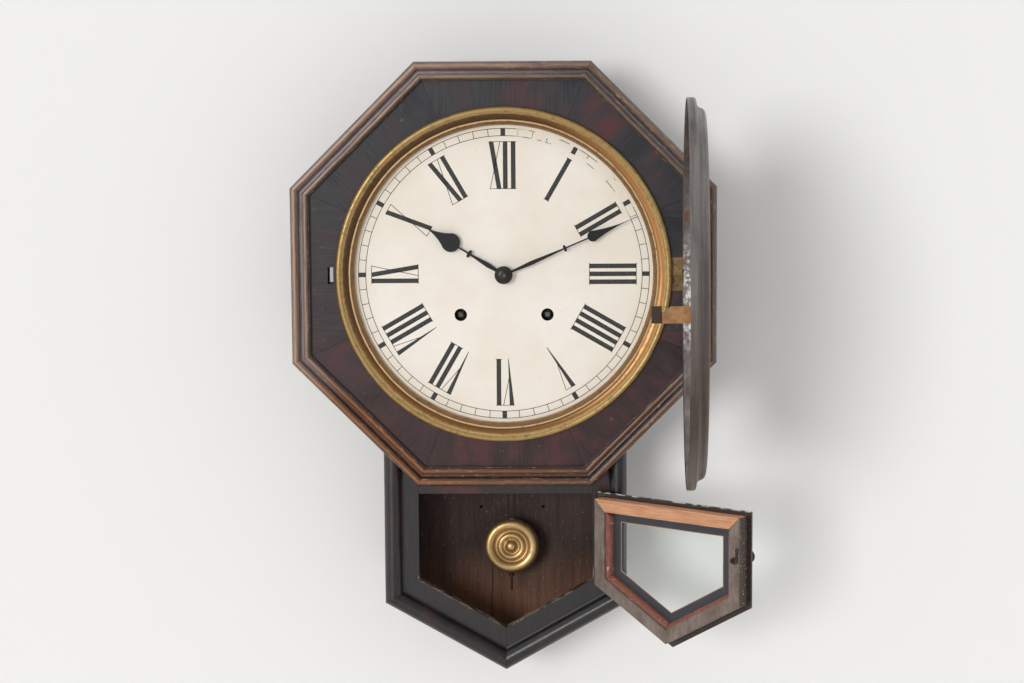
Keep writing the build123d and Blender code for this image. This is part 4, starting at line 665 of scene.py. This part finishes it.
print_mesh, track_mesh = bmesh.new(), bmesh.new()
for hour, letters in enumerate(numerals):
    numeral(print_mesh, hour, letters)
for minute in range(60):
    at, mesh, width = minute * pi / 30, track_mesh, hair
    if minute % 5 == 0:
        mesh, width = print_mesh, thick
    dial_stroke(mesh, at, (0, track_inner), (0, track_outer), width, width)
for radius in (track_inner, track_outer):
    dial_circle(track_mesh, radius, hair)
for name, mesh, worn in (("Dial_print", print_mesh, 0.0), ("Minute_track", track_mesh, 1.0)):
    bmesh.ops.remove_doubles(mesh, verts=mesh.verts, dist=1e-7)
    mesh.normal_update()
    bmesh.ops.reverse_faces(mesh, faces=[f for f in mesh.faces if f.normal.y > 0])
    piece(name, mesh, ink(name + "_ink", worn), "case")


# Lower door, stored open. Its paint and wood are placed on the shut door and turned with it.
door_pivot, door_angle = swing("lower_door_hinge")
door_half, door_top, door_apex = 88.6 * MM, -229 * MM, -368 * MM
door_glass_back, door_rail, paint_gap = 90.57 * MM, 13.5 * MM, 0.05 * MM


def open_door(x, y, z):
    """Where a point of the shut door lies while the door stands open."""
    turn = Matrix.Rotation(door_angle, 3, "Z")
    return door_pivot + turn @ (Vector((x, y, z)) - door_pivot)


def door_corners(side, top, bottom):
    """Corners this many mm inside the door's sides, top and slopes, from the upper left."""
    half, high = door_half - side * MM, door_top - top * MM
    low = door_apex + bottom * MM / cos(drop_slope)
    shoulder = low + half * tan(drop_slope)
    return [(-half, high), (half, high), (half, shoulder), (0, low), (-half, shoulder)]


# Back frame of the door: bare grey-brown wood, and a newer peach-coloured top rail between mitres
def door_wood():
    material, tree = start("Door_wood")
    place = shut_place(tree, "lower_door_hinge")
    x, _, z = split(tree, place)
    grain = cloud(tree, 1.5, (12, 1, 1), 6, place)
    upright = cloud(tree, 1.5, (1, 1, 12), 6, place)
    patch = cloud(tree, 18, detail=6)
    base = blend(tree, fade(tree, patch, 0.35, 0.65), "#85786e", "#66574f")
    base = blend(tree, fade(tree, upright, 0.4, 0.7, 0, 0.5), base, "#4b3d36")
    from_top = math(tree, "SUBTRACT", door_top, z)
    from_side = math(tree, "SUBTRACT", door_half, math(tree, "ABSOLUTE", x))
    mitre = math(tree, "SUBTRACT", from_side, from_top)
    on_rail = fade(tree, from_top, door_rail + 0.1 * MM, door_rail - 0.1 * MM)
    rail = math(tree, "MULTIPLY", fade(tree, mitre, -0.0001, 0.0001), on_rail)
    peach = blend(tree, fade(tree, grain, 0.35, 0.65), "#d19c78", "#b57c58")
    base = blend(tree, rail, base, peach)
    from_mitre = math(tree, "ABSOLUTE", mitre)
    line = math(tree, "MULTIPLY", fade(tree, from_mitre, 0.0006, 0.0002), on_rail)
    base = blend(tree, line, base, "#3b3022")
    edge = fade(tree, from_side, 0.0004, 0.0002)
    speck = fade(tree, cloud(tree, 2, detail=8), 0.6, 0.64)
    worn_edge = blend(tree, speck, "#463c36", "#a89e94")
    base = blend(tree, edge, base, worn_edge)
    return finish(material, tree, base, 0.72, upright, 0.2)


dress(door_wood(), "door_frame")


# Glazing slips: reddish strips that hold the pane against the moulding
def slip_wood():
    material, tree = start("Slip_wood")
    grain = cloud(tree, 1.2, (1, 1, 8), 6)
    nick = fade(tree, cloud(tree, 6, detail=8), 0.62, 0.68)
    base = blend(tree, fade(tree, grain, 0.35, 0.65), "#94594a", "#683e32")
    base = blend(tree, nick, base, "#cdb29c")
    return finish(material, tree, base, 0.6, grain, 0.15)


dress(slip_wood(), "door_glazing_slips")


# Front moulding of the door: nearly black, with filler crumbling white along its top edge
def door_polish():
    material, tree = start("Door_moulding_polish")
    place = shut_place(tree, "lower_door_hinge")
    z = split(tree, place)[2]
    streak = cloud(tree, 1.6, (16, 1, 1), 6, place)
    chips = cloud(tree, 3.4, (2, 1, 1), 8, place)
    base = blend(tree, fade(tree, streak, 0.35, 0.65), "#1a1412", "#3a2c25")
    top_edge = fade(tree, math(tree, "SUBTRACT", z, door_top), 0.0038, 0.0046)
    broken = math(tree, "MULTIPLY", fade(tree, chips, 0.5, 0.56), top_edge)
    base = blend(tree, broken, base, "#cfc9c0")
    rough = fade(tree, broken, 0, 1, 0.32, 0.9)
    height = math(tree, "SUBTRACT", streak, broken)
    return finish(material, tree, base, rough, height, 0.2, coat=0.15)


dress(door_polish(), "door_moulding")


# Border painted on the back of the pane: dull black, with a thin gold line along its inner edge
def door_band(name, outer, inner, paint):
    """Flat band between two five-cornered loops, just behind the pane."""
    mesh = bmesh.new()
    y = paint_gap - door_glass_back
    outside = [mesh.verts.new(open_door(x, y, z)) for x, z in outer]
    inside = [mesh.verts.new(open_door(x, y, z)) for x, z in inner]
    for k in range(-1, 4):
        mesh.faces.new((outside[k], outside[k + 1], inside[k + 1], inside[k]))
    return piece(name, mesh, paint, "lower_door")


border_outer = door_corners(17.6, 12.7, 17.6)
border_inner = door_corners(26.0, 22.4, 26.0)
line_inner = door_corners(26.7, 23.1, 26.7)
black_paint = aged_metal("Border_black_paint", "#34363d", "#2b2c31", "#4b4440", 0.0, 0.5, 0.66)
gold_paint = aged_metal("Border_gold_line", "#c79a7c", "#a97d62", "#7b5646", 0.2, 0.5)
door_band("Glass_border_black", border_outer, border_inner, black_paint)
door_band("Glass_border_gold_line", border_inner, line_inner, gold_paint)


# Plaster in the back of the bezel: crumbled, dark above, white and rusty near the hinge.
# The CAD ring's section is turned again in fine steps and eaten back from its surface.
# The section is given by radius and depth, in millimetres.
plaster_section = (
    (173, 108.2),
    (182.37, 108.2),
    (182.37, 111.9),
    (180.5, 113.5),
    (176.5, 114.4),
    (172.2, 118.3),
    (168.8, 121.24),
    (165, 121.24),
    (173, 112.9),
)
# Slot in the bed for the catch: from slot_left to slot_right, half of its height, and its floor
slot_left, slot_right, slot_half, slot_floor = -177.6 * MM, -171 * MM, 8.5 * MM, -113.9 * MM


def turned_ring(section, step, turns):
    """Ring whose section, of radius and depth in mm, is divided into steps of this many mm."""
    mesh = bmesh.new()
    corners = [mesh.verts.new((radius * MM, -depth * MM, 0)) for radius, depth in section]
    sides = [mesh.edges.new((corners[k - 1], corners[k])) for k in range(len(corners))]
    for side in sides:
        cuts = int(side.calc_length() / (step * MM))
        bmesh.ops.subdivide_edges(mesh, edges=[side], cuts=cuts)
    geom = mesh.verts[:] + mesh.edges[:]
    bmesh.ops.spin(mesh, geom=geom, axis=(0, 1, 0), cent=(0, 0, 0), angle=2 * pi, steps=turns)
    bmesh.ops.remove_doubles(mesh, verts=mesh.verts, dist=1e-6)
    bmesh.ops.recalc_face_normals(mesh, faces=mesh.faces)
    mesh.normal_update()
    return mesh


def plaster_ring(eaten):
    """The shut bezel's bed with pits up to this many mm deep and the catch's slot, swung open."""
    mesh = turned_ring(plaster_section, 0.9, 900)
    places = []
    for vertex in mesh.verts:
        pit = noise.fractal(vertex.co * 170, 1.0, 2.0, 5)
        places.append(vertex.co - vertex.normal * eaten * MM * min(max(pit + 0.3, 0), 1))
    for vertex, place in zip(mesh.verts, places):
        if slot_left < place.x < slot_right and abs(place.z) < slot_half:
            place.y = min(place.y, slot_floor)
        vertex.co = place
    pivot, angle = swing("bezel_hinge")
    turn = Matrix.Rotation(angle, 3, "Z")
    bmesh.ops.rotate(mesh, verts=mesh.verts, cent=pivot, matrix=turn)
    for face in mesh.faces:
        face.smooth = True
    return mesh


def plaster():
    material, tree = start("Crumbling_plaster")
    z = split(tree)[2]
    lump = cloud(tree, 5, detail=9)
    broad = cloud(tree, 30, detail=5)
    spots = fade(tree, cloud(tree, 12, detail=6), 0.55, 0.62)
    rust = math(tree, "MULTIPLY", spots, fade(tree, z, -0.09, -0.03))
    base = blend(tree, fade(tree, broad, 0.35, 0.65), "#7f7a77", "#5c5451")
    from_hinge = math(tree, "ABSOLUTE", math(tree, "ADD", z, 0.02))
    near_hinge = fade(tree, from_hinge, 0.06, 0.03)
    white = math(tree, "MULTIPLY", fade(tree, lump, 0.45, 0.58), near_hinge)
    base = blend(tree, white, base, "#cfccc7")
    base = blend(tree, fade(tree, z, 0.04, 0.12, 0.0, 0.85), base, "#3d332d")
    base = blend(tree, math(tree, "MULTIPLY", rust, 0.8), base, "#6e4430")
    return finish(material, tree, base, 0.85, lump, 0.5)


bed = piece("Bezel_plaster", plaster_ring(1.2), plaster(), "bezel")
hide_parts("bezel_putty")


# Catch of the bezel: copper-coloured spring strip whose folded end has gone dark
catch_fold = 9.5 * MM


def catch_metal():
    material, tree = start("Catch_copper")
    x = split(tree)[0]
    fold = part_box("bezel_catch")[0].x + catch_fold
    stain = cloud(tree, 6, detail=7)
    base = blend(tree, fade(tree, stain, 0.4, 0.7), "#a27a50", "#835c3a")
    dark = fade(tree, x, fold, fold - 0.4 * MM)
    base = blend(tree, dark, base, "#3a2a22")
    return finish(material, tree, base, 0.46, stain, 0.1, metal=0.5)


dress(catch_metal(), "bezel_catch")


# Wall and floor, pale and plain. The wall is clear from behind.
def pale_stage(name, shade):
    material, tree = start(name)
    paint = add(tree, "BsdfDiffuse", {"Color": shade})
    clear = add(tree, "BsdfTransparent", {"Color": (1, 1, 1, 1)})
    behind = add(tree, "NewGeometry").outputs["Backfacing"]
    shader = add(tree, "MixShader", {0: behind, 1: paint.outputs[0], 2: clear.outputs[0]})
    return surface(material, tree, shader)


def plane(name, size, place, turn, material):
    bpy.ops.mesh.primitive_plane_add(size=size, location=place, rotation=turn)
    made = bpy.context.object
    made.name = name
    made.data.materials.append(material)
    return made


stage_size, wall_gap, floor_place = 9, 1.2 * MM, (0, -4.4, -1.4)
wall_paint, floor_paint = pale_stage("Wall_paint", "#f1f0ee"), pale_stage("Floor_paint", "#eceae6")
plane("Wall", stage_size, (0, wall_gap, 0), (pi / 2, 0, 0), wall_paint)
plane("Floor", stage_size, floor_place, (0, 0, 0), floor_paint)

# Soft light of a pale room, brighter from the sides than from the front. The camera sees white.
side_light, front_light = 1.35, 0.33
world = bpy.data.worlds.new("Studio")
bpy.context.scene.world = world
world.use_nodes = True
sky = world.node_tree
sky.nodes.clear()
path = add(sky, "LightPath").outputs
seen = math(sky, "MAXIMUM", path["Is Camera Ray"], path["Is Transmission Ray"])
direction = add(sky, "SeparateXYZ", {0: add(sky, "TexCoord").outputs["Generated"]}).outputs
facing = math(sky, "ABSOLUTE", direction["Y"])
strength = fade(sky, facing, 0.0, 1.0, side_light, front_light)
pale = add(sky, "Background", {"Color": "#ffffff", "Strength": 1.0})
soft = add(sky, "Background", {"Color": "#f3f4f6", "Strength": strength})
either = add(sky, "MixShader", {0: seen, 1: soft.outputs[0], 2: pale.outputs[0]})
world_output = add(sky, "OutputWorld")
sky.links.new(either.outputs[0], world_output.inputs["Surface"])

# Key light from the upper left, so that the shadows fall to the right and a little down
key_direction = Vector((0.42, 1.0, -0.14))
key = bpy.data.lights.new("Key", "SUN")
key.energy = 1.25
key.angle = radians(20)
key_lamp = bpy.data.objects.new("Key", key)
bpy.context.scene.collection.objects.link(key_lamp)
key_lamp.rotation_euler = key_direction.to_track_quat("-Z", "Y").to_euler()

# Camera, at the photograph's place and angle
camera_place = Vector((67.35, -2678.1, 245.47)) * MM
focal_length, sensor_width = 89.35, 36
yaw, pitch, roll = radians(-1.32), radians(-6.95), radians(-0.38)
forward = Vector((sin(yaw) * cos(pitch), cos(yaw) * cos(pitch), sin(pitch)))
level = Vector((cos(yaw), -sin(yaw), 0))
above = level.cross(forward)
right = level * cos(roll) + above * sin(roll)
up = above * cos(roll) - level * sin(roll)
camera_data = bpy.data.cameras.new("Camera")
camera_data.lens = focal_length
camera_data.sensor_width = sensor_width
camera = bpy.data.objects.new("Camera", camera_data)
bpy.context.scene.collection.objects.link(camera)
camera_turn = Matrix((right, up, -forward)).transposed().to_4x4()
camera.matrix_world = Matrix.Translation(camera_place) @ camera_turn
bpy.context.scene.camera = camera
bpy.context.scene.view_settings.view_transform = "Standard"
